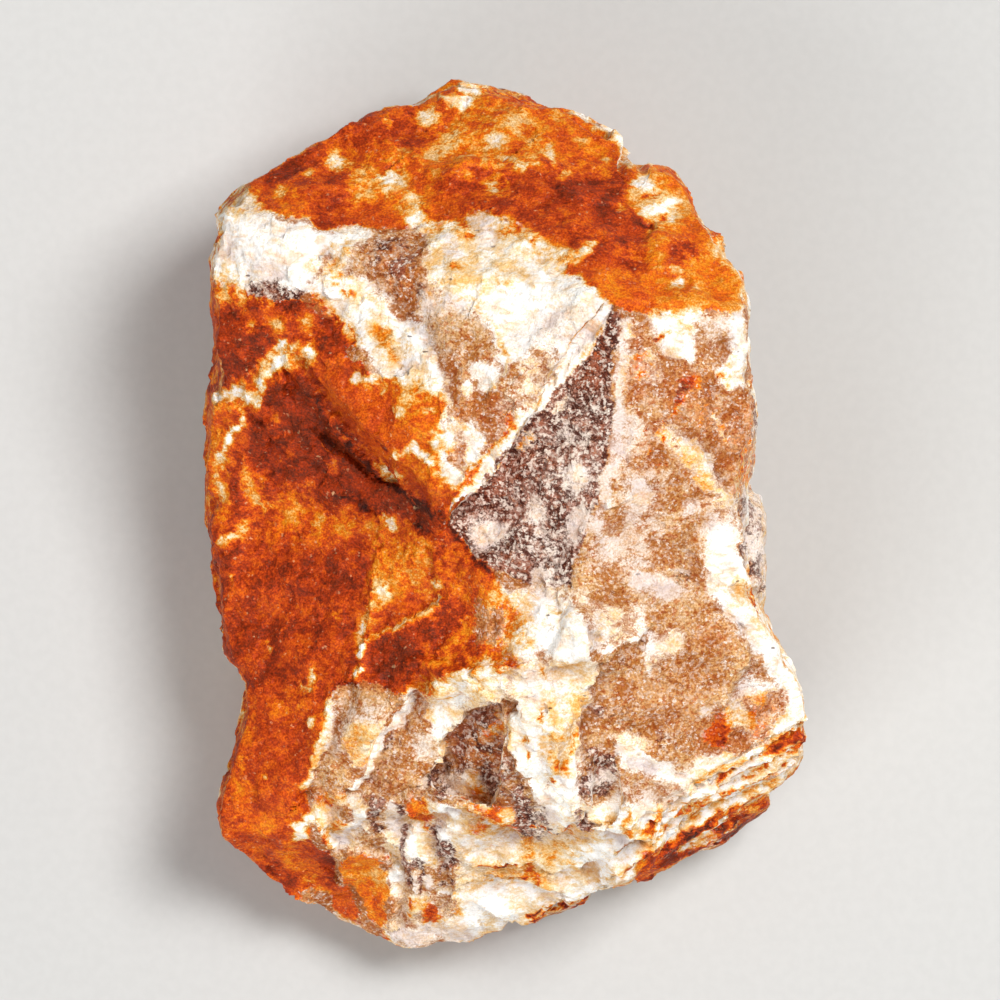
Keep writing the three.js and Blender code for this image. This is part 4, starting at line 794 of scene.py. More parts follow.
# ---------------------------------------------------------------- the stone's skin

# Random fields: the seed, the length of the longest swell, how many octaves there are and, if it isn't the
# usual, how fast those fall. The ones that are drawn more than once have their seeds apart.
GRAIN, LUMPS, PITS = (31, 1.0, 2), (41, 3.4, 3), (51, 1.9, 2)
WANDER_SEEDS, WANDER = (11, 23), (2.4, 4, 0.7)
BROAD_SEEDS, BROAD = {"broad_a": 61, "broad_b": 68, "broad_c": 75}, (2.3, 3, 0.6)
WALL_SEED, WALL_SEED_STEP, WALL_PATCHES = 100, 10, (11, 3)

# How far the wander moves the stains' borders, the ledges, and the upper end of the walls.
BORDER_WANDER, LEDGE_WANDER, SKY_WANDER = 0.42, 0.5, 0.08
PIT_RIM, PIT_DEPTH = (0.35, 0.8), 1.4  # where the field of the pits sinks in, and how deep, in lumps
STAIN_LIFT = 0.6  # how much of a stain's lift shows in the skin
OVERHANG = (1.0, 6.0)  # how deep under the surface above it the skin is shut off from the sky
UPWARD = (0.04, 0.3)  # how far up the skin faces where the walls end
WALL_CONTRAST, WALL_MIX, WALL_SHARPNESS = 3.2, 0.75, 1.6  # how clearly the walls' minerals part
HALF_WIDTH, HALF_LENGTH = 31, 45  # of the stone
FREE = (0.3, 2.5)  # over what height the skin starts to weather, above the foot
FOOT = 0.25  # whatever lies lower than this belongs to the flat foot
TINGED = (0.15, 0.45)  # over what share of clear calcite the deep stains turn to a tinge
WHITE = (0.42, 0.2)  # over what depth of stain the calcite counts as white
TINGE = {"rind": 1, "rust": 1, "umber": 1, "ochre": 0.7, "straw": 0.4}  # how strongly each one tinges
TINGE_TAKES = 0.85  # how much of the deep stains goes into the tinge
SPREAD_MOTTLE = 0.75  # how much a mix of stains adds to the mottling
TRACE = 1e-4  # the least share that something is divided by
SHARP_EDGE = math.radians(34)  # edges sharper than this aren't shaded smooth


def alone(thing):
    """Selects one object and nothing else, and makes it the active one."""
    bpy.ops.object.select_all(action="DESELECT")
    thing.select_set(True)
    bpy.context.view_layer.objects.active = thing


def fine_copy(node, name, fineness):
    """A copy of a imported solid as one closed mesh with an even, fine skin."""
    alone(node)
    bpy.ops.object.duplicate()
    copy = bpy.context.active_object
    bpy.ops.object.parent_clear(type="CLEAR_KEEP_TRANSFORM")
    for key in list(copy.keys()):
        del copy[key]
    copy.name = name
    copy.data.name = name
    copy.data.materials.clear()
    bpy.ops.object.mode_set(mode="EDIT")
    bpy.ops.mesh.select_all(action="SELECT")
    bpy.ops.mesh.remove_doubles(threshold=MM / 1000)
    bpy.ops.object.mode_set(mode="OBJECT")
    skin = copy.modifiers.new("Even skin", "REMESH")
    skin.mode = "VOXEL"
    skin.voxel_size = fineness
    bpy.ops.object.modifier_apply(modifier=skin.name)
    return copy


def corners_of(mesh):
    """The mesh's corners in millimetres."""
    places = np.empty(len(mesh.vertices) * 3)
    mesh.vertices.foreach_get("co", places)
    return places.reshape(-1, 3) / MM


def directions_of(mesh):
    """The way that the skin faces at each corner."""
    normals = np.empty(len(mesh.vertices) * 3)
    mesh.vertex_normals.foreach_get("vector", normals)
    return normals.reshape(-1, 3)


def seen_from_above(stone, places):
    """How open each corner lies to the sky, from 1 down to 0 for one far below the surface above it."""
    tree = BVHTree.FromObject(stone, bpy.context.evaluated_depsgraph_get())
    down = Vector((0, 0, -1))
    depth = np.empty(len(places))
    for i, (x, y, z) in enumerate(places):
        hit = tree.ray_cast(Vector((x * MM, y * MM, 0.1)), down)[0]
        depth[i] = (hit.z / MM - z) if hit else 0.0
    return 1 - ease(*OVERHANG, depth)


def border_distance(flat, points, closed):
    """Distance from each place in the XY plane to a line through the points."""
    distance = np.full(len(flat), np.inf)
    ends = points[1:] + points[:1] if closed else points[1:] or points
    for start, end in zip(points, ends):
        start = np.array(start, float)
        run = np.array(end, float) - start
        share = np.clip((flat - start) @ run / max(run @ run, 1e-9), 0, 1)
        distance = np.minimum(distance, np.hypot(*(flat - start - share[:, None] * run).T))
    return distance


def encloses(flat, points):
    """Which places lie inside a closed line through the points."""
    x, y = flat.T
    inside = np.zeros(len(flat), bool)
    for (x0, y0), (x1, y1) in zip(points, points[1:] + points[:1]):
        if y0 != y1:
            inside ^= ((y0 > y) != (y1 > y)) & (x < (x1 - x0) * (y - y0) / (y1 - y0) + x0)
    return inside


def within(flat, points, spare):
    """Which places lie in the points' box, grown by so much on every side."""
    low, high = np.min(points, axis=0) - spare, np.max(points, axis=0) + spare
    return ((flat > low) & (flat < high)).all(axis=1)


def reach_of(stain, flat):
    """How much of a stain falls on each place, from 0 to 1."""
    closed = stain.width == 0
    near = within(flat, stain.points, stain.width + stain.border)
    reach = np.zeros(len(flat))
    if not near.any():
        return reach
    distance = border_distance(flat[near], stain.points, closed)
    if closed:
        distance = np.where(encloses(flat[near], stain.points), -distance, distance)
    reach[near] = 1 - ease(-stain.border / 2, stain.border / 2, distance - stain.width)
    return reach


def ledge_heights(flat):
    """How far all the ledges together raise or sink the skin at each place."""
    height = np.zeros(len(flat))
    for drop, reach, points in LEDGES:
        near = within(flat, points, reach)
        distance = np.full(near.sum(), np.inf)
        side = np.zeros(near.sum())
        for start, end in zip(np.array(points, float), np.array(points[1:], float)):
            run, to = end - start, flat[near] - start
            share = np.clip(to @ run / (run @ run), 0, 1)
            gap = np.hypot(*(to - share[:, None] * run).T)
            closer = gap < distance
            distance[closer] = gap[closer]
            side[closer] = (run[0] * to[:, 1] - run[1] * to[:, 0])[closer]
        steep = np.clip(np.sign(side) * distance / LEDGE_SLOPE, -1, 1)
        height[near] += 0.5 * drop * steep * (1 - ease(0.0, reach, distance))
    return height


def wall_minerals(places):
    """Share of each mineral on the walls and the foot, which no stain from above reaches."""
    shares = np.zeros((len(places), len(NAMES)))
    x, y, _ = places.T
    around = np.hypot(x / HALF_WIDTH, y / HALF_LENGTH) + 1e-6
    east, north = x / HALF_WIDTH / around, y / HALF_LENGTH / around
    on_east, on_west, on_north, on_south = (np.maximum(way, 0) for way in (east, -east, north, -north))
    # How much there is of each, and how that changes with the way a wall faces.
    want = {
        "honey": 0.35 + 0.25 * east,
        "smoke": 0.10 + 0.10 * east,
        "rind": 0.30 + 0.55 * on_west + 0.35 * on_north,
        "rust": 0.12 + 0.35 * on_west - 0.1 * north,
        "umber": -0.2 + 0.15 * on_west,
        "ochre": 0.10 - 0.10 * north,
        "straw": 0.16 - 0.1 * north,
        "cream": 0.22 + 0.15 * on_east + 0.15 * on_south,
        "lilac": 0.12 + 0.12 * on_east,
        "chalk": 0.24 + 0.20 * on_east + 0.2 * on_south,
    }
    for i, name in enumerate(NAMES):
        patchy = rough(places, WALL_SEED + WALL_SEED_STEP * i, *WALL_PATCHES)
        shares[:, i] = np.exp(WALL_CONTRAST * (want[name] + WALL_MIX * patchy))
    shares **= WALL_SHARPNESS
    return shares / shares.sum(axis=1, keepdims=True)


def silted(places):
    """How far the gully's silt reaches, from 0 to 1."""
    away = np.hypot(*(places[:, :2] - GULLY).T)
    return (1 - ease(*GULLY_REACH, away)) * ease(*GULLY_START, places[:, 2])


def stained(stone):
    """The share of each mineral at each corner of the skin, and how far the stains lift it there."""
    places = corners_of(stone.data)
    wander = np.stack([rough(places, seed, *WANDER) for seed in WANDER_SEEDS], axis=1)
    flat = places[:, :2] + BORDER_WANDER * wander
    shares = np.zeros((len(places), len(NAMES)))
    shares[:, 0] = 1
    lift = np.zeros(len(places))
    for stain in STAINS:
        reach = reach_of(stain, flat)
        shares *= (1 - stain.cover * reach)[:, None]
        shares[:, NAMES.index(stain.mineral)] += stain.cover * reach
        lift += STAIN_LIFT * stain.lift * reach
    lift += ledge_heights(places[:, :2] + LEDGE_WANDER * wander)
    # The walls turn away from the sky, and so does what lies deep under an overhang.
    upward = directions_of(stone.data)[:, 2] + SKY_WANDER * wander[:, 0]
    sky = np.maximum(seen_from_above(stone, places) * ease(*UPWARD, upward), silted(places))
    shares = sky[:, None] * shares + (1 - sky)[:, None] * wall_minerals(places)
    return shares, lift * sky


def broken(places, shares, lift):
    """How far each mineral's break, on top of the lift, raises or sinks the skin at each corner."""
    facet_depth, grain_depth, lump_depth = (
        sum(shares[:, i] * getattr(MINERALS[name], kind) for i, name in enumerate(NAMES))
        for kind in ("facets", "grain", "lumps")
    )
    relief = sum(share * facets(places, seed, size) for seed, size, share in FACET_SIZES)
    height = lift + facet_depth * relief
    height += grain_depth * rough(places, *GRAIN)
    height += lump_depth * rough(places, *LUMPS)
    height -= PIT_DEPTH * lump_depth * ease(*PIT_RIM, rough(places, *PITS))
    return height


def fill_gully(places):
    """Raises the gully's floor towards the slope beside it."""
    brim = GULLY_BRIM - GULLY_FALL * (places[:, 1] - GULLY[1])
    places[:, 2] += GULLY_FILL * silted(places) * np.maximum(brim - places[:, 2], 0)


def wear_tip(places):
    """Draws the lower ledge's tip in to its round."""
    out = places[:, :2] - TIP_MIDDLE
    far = np.hypot(*out.T)
    tip = ease(*TIP_TOP, places[:, 2]) * ease(*TIP_WEST, places[:, 0]) * ease(*TIP_NORTH, places[:, 1])
    inward = 1 - TIP_WEAR * tip * np.maximum(far - TIP_RADIUS, 0) / np.maximum(far, 1)
    places[:, :2] = TIP_MIDDLE + out * inward[:, None]


def push_rim(places):
    """Pushes the rim of the foot where it has to reach a little further or less far."""
    for push in PUSHES:
        near = 1 - ease(0.0, push.reach, np.hypot(*(places[:, :2] - push.place).T))
        places[:, :2] += near[:, None] * push.way


def weather(stone, shares, lift):
    """Moves the skin's corners in and out as each mineral breaks, but keeps the foot flat."""
    mesh = stone.data
    places, directions = corners_of(mesh), directions_of(mesh)
    height = broken(places, shares, lift)
    free = ease(*FREE, places[:, 2])
    fill_gully(places)
    places += (height * free)[:, None] * directions
    places[:, 2] = np.where(places[:, 2] < FOOT, 0, places[:, 2])
    wear_tip(places)
    push_rim(places)
    mesh.vertices.foreach_set("co", (places * MM).ravel())
    mesh.update()
    return height


def thinned(stone, most):
    """Thins the skin down to so many triangles, and shades it smooth but for its sharp edges."""
    alone(stone)
    triangles = sum(len(face.vertices) - 2 for face in stone.data.polygons)
    if triangles > most:
        thin = stone.modifiers.new("Fewer faces", "DECIMATE")
        thin.ratio = most / triangles
        bpy.ops.object.modifier_apply(modifier=thin.name)
    bpy.ops.object.shade_smooth_by_angle(angle=SHARP_EDGE)


def keep(mesh, name, values):
    """Keeps one value for each corner of the skin."""
    kept = mesh.attributes.new(name, "FLOAT", "POINT")
    kept.data.foreach_set("value", values.astype(np.float32))


def keep_colours(mesh, shares):
    """Keeps, for the material, what the shares of the minerals come to at each corner of the skin."""
    share = dict(zip(NAMES, shares.T))
    clear = sum(share[name] for name in CLEAR)
    # Where the body is mostly clear, the deep stains only tinge it.
    soaked = ease(*TINGED, clear)
    keep(mesh, "tinge", soaked * sum(strength * share[name] for name, strength in TINGE.items()))
    for name in TINGE:
        share[name] = share[name] * (1 - TINGE_TAKES * soaked)
    solid = sum(share[name] for name in STAINED)
    some_clear, some_solid = np.maximum(clear, TRACE), np.maximum(solid, TRACE)
    whole = np.maximum(clear + solid, TRACE)

    def mean(value_of):
        """The mean of a value over the opaque minerals."""
        return sum(share[name] * value_of(MINERALS[name]) for name in STAINED) / some_solid

    iron = mean(lambda mineral: mineral.iron)
    spread = mean(lambda mineral: (mineral.iron - iron) ** 2)
    mottle = mean(lambda mineral: mineral.mottle)
    keep(mesh, "clear", clear / whole)
    keep(mesh, "iron", iron)
    keep(mesh, "mottle", mottle + SPREAD_MOTTLE * np.sqrt(spread))
    keep(mesh, "smoke", share["smoke"] / some_clear)
    keep(mesh, "lilac", share["lilac"] / some_solid)
    # How densely the pale specks stand: partly sugary grains, partly painted glints.
    keep(mesh, "sugar", sum(share[name] * MINERALS[name].sugar for name in NAMES) / whole)
    keep(mesh, "white", ease(*WHITE, iron) * solid / whole)


def keep_fields(mesh):
    """Keeps, for the material, the random fields that its borders and tones follow."""
    places = corners_of(mesh)
    for name, seed in BROAD_SEEDS.items():
        keep(mesh, name, 0.5 + 0.5 * rough(places, seed, *BROAD))


# ---------------------------------------------------------------- shader nodes


class Nodes:
    """One material's shader nodes. A method adds nodes, and gives back the socket of what they make."""

    def __init__(self, name):
        self.material = bpy.data.materials.new(name)
        self.material.use_nodes = True
        self.tree = self.material.node_tree
        self.tree.nodes.clear()

    def node(self, kind, inputs=(), **settings):
        """One node itself. An input is given by name or number, as a value or as a socket to link."""
        made = self.tree.nodes.new("ShaderNode" + kind)
        for name, value in settings.items():
            setattr(made, name, value)
        for name, value in dict(inputs).items():
            if isinstance(value, bpy.types.NodeSocket):
                self.tree.links.new(value, made.inputs[name])
            else:
                made.inputs[name].default_value = value
        return made

    def own_place(self):
        """The place in the object's own frame, in metres."""
        return self.node("TexCoord").outputs["Object"]

    def attribute(self, name):
        """What the mesh keeps under this name."""
        return self.node("Attribute", attribute_name=name).outputs["Fac"]

    def maths(self, operation, *values):
        """One step of arithmetic with numbers."""
        return self.node("Math", dict(enumerate(values)), operation=operation).outputs[0]

    def times(self, a, b):
        """a times b"""
        return self.maths("MULTIPLY", a, b)

    def minus(self, a, b):
        """a less b"""
        return self.maths("SUBTRACT", a, b)

    def times_plus(self, a, b, c):
        """a times b, plus c"""
        return self.maths("MULTIPLY_ADD", a, b, c)

    def vector(self, operation, *values, output="Vector", **named):
        """One step of arithmetic with vectors."""
        inputs = {**dict(enumerate(values)), **named}
        return self.node("VectorMath", inputs, operation=operation).outputs[output]

    def slanted(self, place, turn, scale):
        """The place scaled, and then turned about the upright axis."""
        return self.node("Mapping", {"Vector": place, "Rotation": (0, 0, turn), "Scale": scale}).outputs[0]

    def ramped(self, value, low, high, to_low=0.0, to_high=1.0):
        """The value between low and high, eased to another range."""
        inputs = {"Value": value, "From Min": low, "From Max": high, "To Min": to_low, "To Max": to_high}
        return self.node("MapRange", inputs, interpolation_type="SMOOTHSTEP").outputs["Result"]

    def mixed(self, factor, a, b, how="MIX"):
        """Colour a, and more of colour b the larger the factor is."""
        return self.node("Mix", {0: factor, 6: a, 7: b}, data_type="RGBA", blend_type=how).outputs[2]

    def over(self, colour, factor, flat, how="MIX"):
        """The colour, with one flat colour over it."""
        return self.mixed(factor, colour, (*flat, 1), how)

    def between(self, value, low, high):
        """A colour between low and high."""
        return self.mixed(value, (*low, 1), (*high, 1))

    def tones(self, value, *stops):
        """A colour picked along stops, each a place from 0 to 1 and a colour."""
        ramp = self.node("ValToRGB", {"Fac": value})
        made = ramp.color_ramp.elements
        made.remove(made[0])
        made[0].position, made[0].color = stops[0][0], (*stops[0][1], 1)
        for position, colour in stops[1:]:
            made.new(position).color = (*colour, 1)
        return ramp.outputs["Color"]

    def split(self, colour):
        """The three parts of a colour."""
        return list(self.node("SeparateColor", {"Color": colour}).outputs)

    def noise(self, place, scale, detail, roughness=0.5, output="Fac"):
        """Smooth random values, mostly near 0.5."""
        inputs = {"Vector": place, "Scale": scale, "Detail": detail, "Roughness": roughness}
        return self.node("TexNoise", inputs).outputs[output]

    def cloud(self, place, scale, detail, roughness):
        """Three unlike random fields between 0 and 1, from one noise."""
        colour = self.noise(place, scale, detail, roughness, "Color")
        return [self.ramped(part, 0.27, 0.73) for part in self.split(colour)]

    def cells(self, place, scale):
        """Scattered cells: the distance to the nearest one's middle, its own random colour, its middle."""
        outputs = self.node("TexVoronoi", {"Vector": place, "Scale": scale}).outputs
        return outputs["Distance"], outputs["Color"], outputs["Position"]

    def blend_of(self, *parts):
        """Fields added up by their shares, stretched to fill 0 to 1 again."""
        total = 0.0
        for share, part in parts:
            total = self.times_plus(part, share, total)
        spread = 1.9 * math.sqrt(sum(share * share for share, _ in parts) / 12)
        return self.ramped(total, 0.5 - spread, 0.5 + spread)

    def past_border(self, cover, soft, *parts):
        """How far a place lies inside a mineral that partly covers, from -1 to 1."""
        wide = self.times_plus(cover, 1 + 2 * soft, -soft)
        return self.minus(wide, self.blend_of(*parts))

    def dots(self, grain, crowd, small, large):
        """Round dots on the grains that are crowded enough to have one, each of its own size."""
        distance, size, rank, strength = grain
        near = self.maths("DIVIDE", distance, self.times_plus(size, large - small, small))
        there = self.ramped(self.minus(crowd, rank), 0.0, 0.2)
        dot = self.times(self.ramped(near, 0.55, 1.0, 1.0, 0.0), there)
        return self.times(dot, self.times_plus(strength, 0.7, 0.3))

    def surface(self, inputs):
        """Ends the material with its one shader, and gives the material back."""
        shader = self.node("BsdfPrincipled", inputs)
        self.node("OutputMaterial", {"Surface": shader.outputs[0]})
        return self.material


# ---------------------------------------------------------------- the stone's material

CALCITE_IOR, SHINE = 1.55, 0.1
CRACK_LAYERS = 6.0  # how many hair cracks there are from the least to the most of their noise
# How many cells or swells there are to a millimetre.
DUST, FINE, SAND, CURLS, CRACKS, FLAKES, FACES, FACE_GRAIN = 4.6, 1.6, 2.8, 1.9, 0.34, 0.9, 1.5, 2.6
# The tones of the opaque calcite, and how deep iron has stained it at each of them.
IRON_STOPS = (0.02, 0.10, 0.21, 0.34, 0.45, 0.55, 0.66, 0.76, 0.87, 1.0)
IRON_TONES = ("white", "milk", "cream", "yellow", "amber", "orange", "ember", "red", "rust", "char")


class StoneShader(Nodes):
    """The calcite, from the shares of minerals kept in its skin and from noise in the stone's own frame."""

    def __init__(self, paint):
        super().__init__("raw_orange_calcite")
        self.paint = paint
        self.place = self.vector("SCALE", self.own_place(), Scale=1 / MM)
        self.along_cracks = self.slanted(self.place, -0.9, (0.45, 1.2, 0.8))
        self.broad = [self.ramped(self.attribute(name), 0.12, 0.88) for name in BROAD_SEEDS]
        self.fine = self.cloud(self.slanted(self.place, 0.4, (0.6, 1.0, 1.0)), FINE, 4, 0.7)
        self.dust = self.noise(self.place, DUST, 2.0, 0.6)
        self.grit = self.ramped(self.dust, 0.36, 0.64)
        # Grains of no regular shape: how near a grain's middle lies, and three random values for it.
        shift = self.node("CombineXYZ", dict(enumerate(self.fine))).outputs[0]
        crooked = self.vector("MULTIPLY_ADD", shift, (0.4, 0.4, 0.4), self.place)
        distance, colour, _ = self.cells(crooked, SAND)
        self.sand = [distance, *self.split(colour)]
        # The curling grain of the sugary crystals, which the pale specks and painted glints follow.
        self.curls = self.noise(self.place, CURLS, 1.5, 0.6)
        self.iron, self.clear, self.white = map(self.attribute, ("iron", "clear", "white"))

    def opaque(self):
        """Opaque calcite, by how deep iron has stained it."""
        swing = self.blend_of(
            (0.33, self.broad[0]), (0.42, self.fine[0]), (0.15, self.fine[1]), (0.1, self.sand[2])
        )
        iron = self.times_plus(self.times_plus(swing, 2.0, -1.0), self.attribute("mottle"), self.iron)
        iron = self.times_plus(self.minus(self.grit, 0.5), -0.07, iron)
        colours = [getattr(self.paint, name) for name in IRON_TONES]
        colour = self.tones(iron, *zip(IRON_STOPS, colours))
        inside = self.past_border(self.attribute("lilac"), 0.6, (0.5, self.broad[2]), (0.5, self.fine[2]))
        return self.over(colour, self.ramped(inside, -0.6, 0.6), self.paint.lilac, "MULTIPLY")

    def hair_cracks(self, colour):
        """Stained hair cracks in the white parts, each with a soft yellow halo."""
        layers = self.times(self.noise(self.along_cracks, CRACKS, 3.0, 0.45), CRACK_LAYERS)
        off = self.minus(self.maths("FRACT", layers), 0.5)
        off = self.times(self.maths("ABSOLUTE", off), 1 / CRACK_LAYERS)
        cracked = self.times(self.white, self.ramped(self.broad[2], 0.35, 0.8))
        halo = self.times(self.ramped(off, 0.0, 0.07, 0.5, 0.0), cracked)
        colour = self.over(colour, halo, self.paint.yellow)
        hair = self.times(self.ramped(off, 0.0, 0.007, 0.6, 0.0), self.times(cracked, self.fine[1]))
        return self.over(colour, hair, self.paint.ember)

    def dark_flakes(self, colour):
        """Thin dark flakes in the white parts, lying along the hair cracks."""
        distance, own_colour, _ = self.cells(self.along_cracks, FLAKES)
        chosen = self.ramped(self.split(own_colour)[0], 0.16, 0.2, 1.0, 0.0)
        flaked = self.times(self.ramped(distance, 0.10, 0.16, 0.8, 0.0), chosen)
        return self.over(colour, self.times(flaked, self.white), self.paint.char)

    def clear_parts(self, colour):
        """Clear calcite. Pale dots stand in it, partly sugary grains and partly painted glints, and crowd
        together until they cover it at its border.
        """
        paint, broad, fine, grit = self.paint, self.broad, self.fine, self.grit
        cloudy = self.blend_of((0.45, broad[1]), (0.35, fine[2]), (0.2, grit))
        honey = self.tones(cloudy, (0.1, paint.honey_deep), (0.9, paint.honey_pale))
        cloudy = self.blend_of((0.3, broad[2]), (0.45, fine[0]), (0.25, grit))
        smoke = self.tones(cloudy, (0.1, paint.smoke_deep), (0.9, paint.smoke_pale))
        smoky = self.past_border(
            self.attribute("smoke"), 0.4, (0.45, broad[0]), (0.4, fine[1]), (0.15, self.sand[1])
        )
        dark = self.ramped(smoky, -0.4, 0.4)
        soaked = self.times(self.attribute("tinge"), self.ramped(fine[2], 0.1, 0.7, 0.5, 1.6))
        depth = self.over(self.mixed(dark, honey, smoke), soaked, paint.tinge, "MULTIPLY")
        inside = self.past_border(self.clear, 0.5, (0.4, broad[1]), (0.45, fine[0]), (0.15, grit))
        pale = self.ramped(self.iron, 0.3, 0.55, 1.0, 0.0)
        haze = self.times(self.ramped(inside, 0.0, 0.7, 0.3, 0.0), pale)
        depth = self.over(depth, haze, paint.speck_and_glint)
        colour = self.mixed(self.ramped(inside, -0.35, 0.25), colour, depth)

        sugar = self.attribute("sugar")
        crowd = self.maths("ADD", self.times(self.ramped(inside, -0.4, 0.5, 0.5, 0.0), pale), sugar)
        curled = self.ramped(self.times_plus(crowd, 0.2, self.curls), 0.65, 0.73)
        curled = self.times(curled, self.times_plus(dark, 0.45, 0.3))
        # The pale specks: partly sugary grains, partly painted glints.
        frost_and_glints = self.maths("MAXIMUM", self.dots(self.sand, crowd, 0.3, 0.72), curled)
        frost_and_glints = self.times(frost_and_glints, self.ramped(sugar, 0.01, 0.2))
        colour = self.over(colour, frost_and_glints, paint.speck_and_glint)
        burnt = self.times(self.ramped(self.curls, 0.36, 0.43, 0.75, 0.0), self.ramped(inside, -0.1, 0.3))
        return self.over(colour, burnt, paint.grit_red, "MULTIPLY")

    def gritty(self, colour):
        """Grains of light and dark grit in the opaque parts, and a fine dust over all."""
        opaque = self.minus(1.0, self.clear)
        light = self.times(self.dots(self.sand, 0.16, 0.25, 0.62), self.times(opaque, 0.6))
        colour = self.over(colour, light, self.paint.grit_pale)
        distance, size, rank, strength = self.sand
        dark = self.dots([distance, size, self.minus(1.0, rank), strength], 0.2, 0.25, 0.62)
        dark = self.times(dark, self.times_plus(self.white, -0.3, 0.55))
        colour = self.over(colour, self.times(dark, opaque), self.paint.grit_dark)
        dusty = self.between(self.grit, (0.82, 0.77, 0.72), (1.1, 1.1, 1.1))
        return self.mixed(self.times_plus(self.white, -0.7, 1.0), colour, dusty, "MULTIPLY")

    def painted_relief_shade(self, colour):
        """Painted light and shade from the skin's relief: paler where the skin stands out, darker and
        browner where it is sunk.
        """
        height = self.ramped(self.attribute("painted_relief_shade"), -0.8, 0.35)
        shade = self.between(height, (0.64, 0.54, 0.54), (1.05, 1.05, 1.05))
        return self.mixed(1.0, colour, shade, "MULTIPLY")

    def crystal_faces(self):
        """Small crystal faces, each tilted its own way, with a fine roughness over them."""
        _, colour, middle = self.cells(self.place, FACES)
        gap = self.vector("SUBTRACT", self.place, middle)
        lean = self.vector("SUBTRACT", colour, (0.5, 0.5, 0.5))
        tilted = self.vector("DOT_PRODUCT", gap, lean, output="Value")
        relief = self.times_plus(tilted, 1.6, self.noise(self.place, FACE_GRAIN, 3.0))
        inputs = {"Strength": 0.8, "Distance": 0.22 * MM, "Height": relief}
        return self.node("Bump", inputs).outputs["Normal"]


def calcite_material(paint):
    """The stone's one material, in the colours of its settings."""
    stone = StoneShader(paint)
    colour = stone.opaque()
    for layer in (stone.hair_cracks, stone.dark_flakes, stone.clear_parts, stone.gritty, stone.painted_relief_shade):
        colour = layer(colour)
    gloss = stone.ramped(stone.dust, 0.3, 0.7, 0.40, 0.62)
    return stone.surface({
        "Base Color": colour,
        "Roughness": gloss,
        "Normal": stone.crystal_faces(),
        "IOR": CALCITE_IOR,
        "Specular IOR Level": SHINE,
    })


# ---------------------------------------------------------------- settings


def colour_property(name, description, red, green, blue):
    """A colour setting, given as the colour looks."""
    return bpy.props.FloatVectorProperty(
        name=name, description=description, default=srgb(red, green, blue), min=0, max=1, subtype="COLOR"
    )


class StoneSettings(bpy.types.PropertyGroup):
    """Sizes and colours of the stone"""

    fineness: bpy.props.FloatProperty(
        name="Fineness", description="Length of one face of the skin", default=0.00034, unit="LENGTH",
        precision=5,
    )
    most_triangles: bpy.props.IntProperty(
        name="Most triangles", description="What the finished skin is thinned to", default=195000
    )
    white: colour_property("White", "Opaque calcite without any stain", 255, 254, 249)
    milk: colour_property("Milk", "Opaque calcite with a trace of stain", 252, 243, 226)
    cream: colour_property("Cream", "Opaque calcite with a weak stain", 245, 220, 178)
    yellow: colour_property("Yellow", "Yellow stain around the white parts", 238, 188, 112)
    amber: colour_property("Amber", "Stain between yellow and orange", 230, 140, 22)
    orange: colour_property("Orange", "Stain of the bright crust", 226, 108, 14)
    ember: colour_property("Ember", "Stain of the deeper crust", 200, 76, 16)
    red: colour_property("Red", "Stain of the flank", 168, 54, 13)
    rust: colour_property("Rust", "Stain of the rusty recesses", 126, 44, 14)
    char: colour_property("Char", "The deepest stain", 70, 28, 18)
    lilac: colour_property("Lilac", "Tint over the greyish white parts", 236, 224, 222)
    honey_deep: colour_property("Deep honey", "Clear calcite, where deep", 176, 110, 50)
    honey_pale: colour_property("Pale honey", "Clear calcite, where cloudy", 214, 168, 112)
    smoke_deep: colour_property("Deep smoke", "Dark clear calcite, where deep", 82, 42, 32)
    smoke_pale: colour_property("Pale smoke", "Dark clear calcite, where cloudy", 166, 118, 100)
    grit_pale: colour_property("Pale grit", "Pale grains in the opaque parts", 246, 204, 152)
    grit_dark: colour_property("Dark grit", "Dark grains in the opaque parts", 112, 52, 26)
    grit_red: colour_property("Red grit", "Reddish grains in the clear parts", 222, 164, 122)
    tinge: colour_property("Tinge", "What iron does to the clear parts", 236, 170, 104)
    # Pale specks in the clear parts: partly sugary grains, partly painted glints.
    speck_and_glint: colour_property("Speck", "Sugary specks in the clear parts", 240, 226, 212)


class StageSettings(bpy.types.PropertyGroup):
    """Sizes, light and colour of the stage"""

    floor_colour: bpy.props.FloatVectorProperty(
        name="Floor", description="Colour of the plain floor", default=(0.55, 0.545, 0.53), subtype="COLOR"
    )
    view_width: bpy.props.FloatProperty(
        name="View width", description="Width that the camera shows", default=0.104, unit="LENGTH"
    )
    lens: bpy.props.FloatProperty(name="Lens", description="Focal length in millimetres", default=600.0)
    key_power: bpy.props.FloatProperty(
        name="Key light", description="Power of the large soft light", default=10.2, unit="POWER"
    )
    sky_strength: bpy.props.FloatProperty(
        name="Sky", description="Strength of the even light from all sides", default=0.24
    )


# ---------------------------------------------------------------- the stage

# The square soft lights: where each hangs, how long its side is, and its power in shares of the key's.
Light = namedtuple("Light", "place side share")
LIGHTS = {
    "key": Light((0.42, 0.3, 0.85), 0.4, 1.0),
    "fill": Light((-0.5, -0.75, 0.62), 0.8, 0.75),
}
FLOOR_RADIUS, FLOOR_CORNERS, FLOOR_ROUGHNESS = 4.0, 96, 0.8
SPECKS_SCALE, SPECKS_PALER = 900.0, 1.03  # of the specks in the floor
VIEW_MIDDLE = (-0.38, 1.29, 25)  # what the camera looks at, in millimetres
VIEW_END = 20  # how far the camera sees


def floor_material(colour):
    """A matt floor, with specks that are barely paler."""
    floor = Nodes("plain_floor")
    specks = floor.ramped(floor.noise(floor.own_place(), SPECKS_SCALE, 3.0), 0.3, 0.7)
    paler = tuple(min(1.0, value * SPECKS_PALER) for value in colour)
    return floor.surface({"Base Color": floor.between(specks, colour, paler), "Roughness": FLOOR_ROUGHNESS})


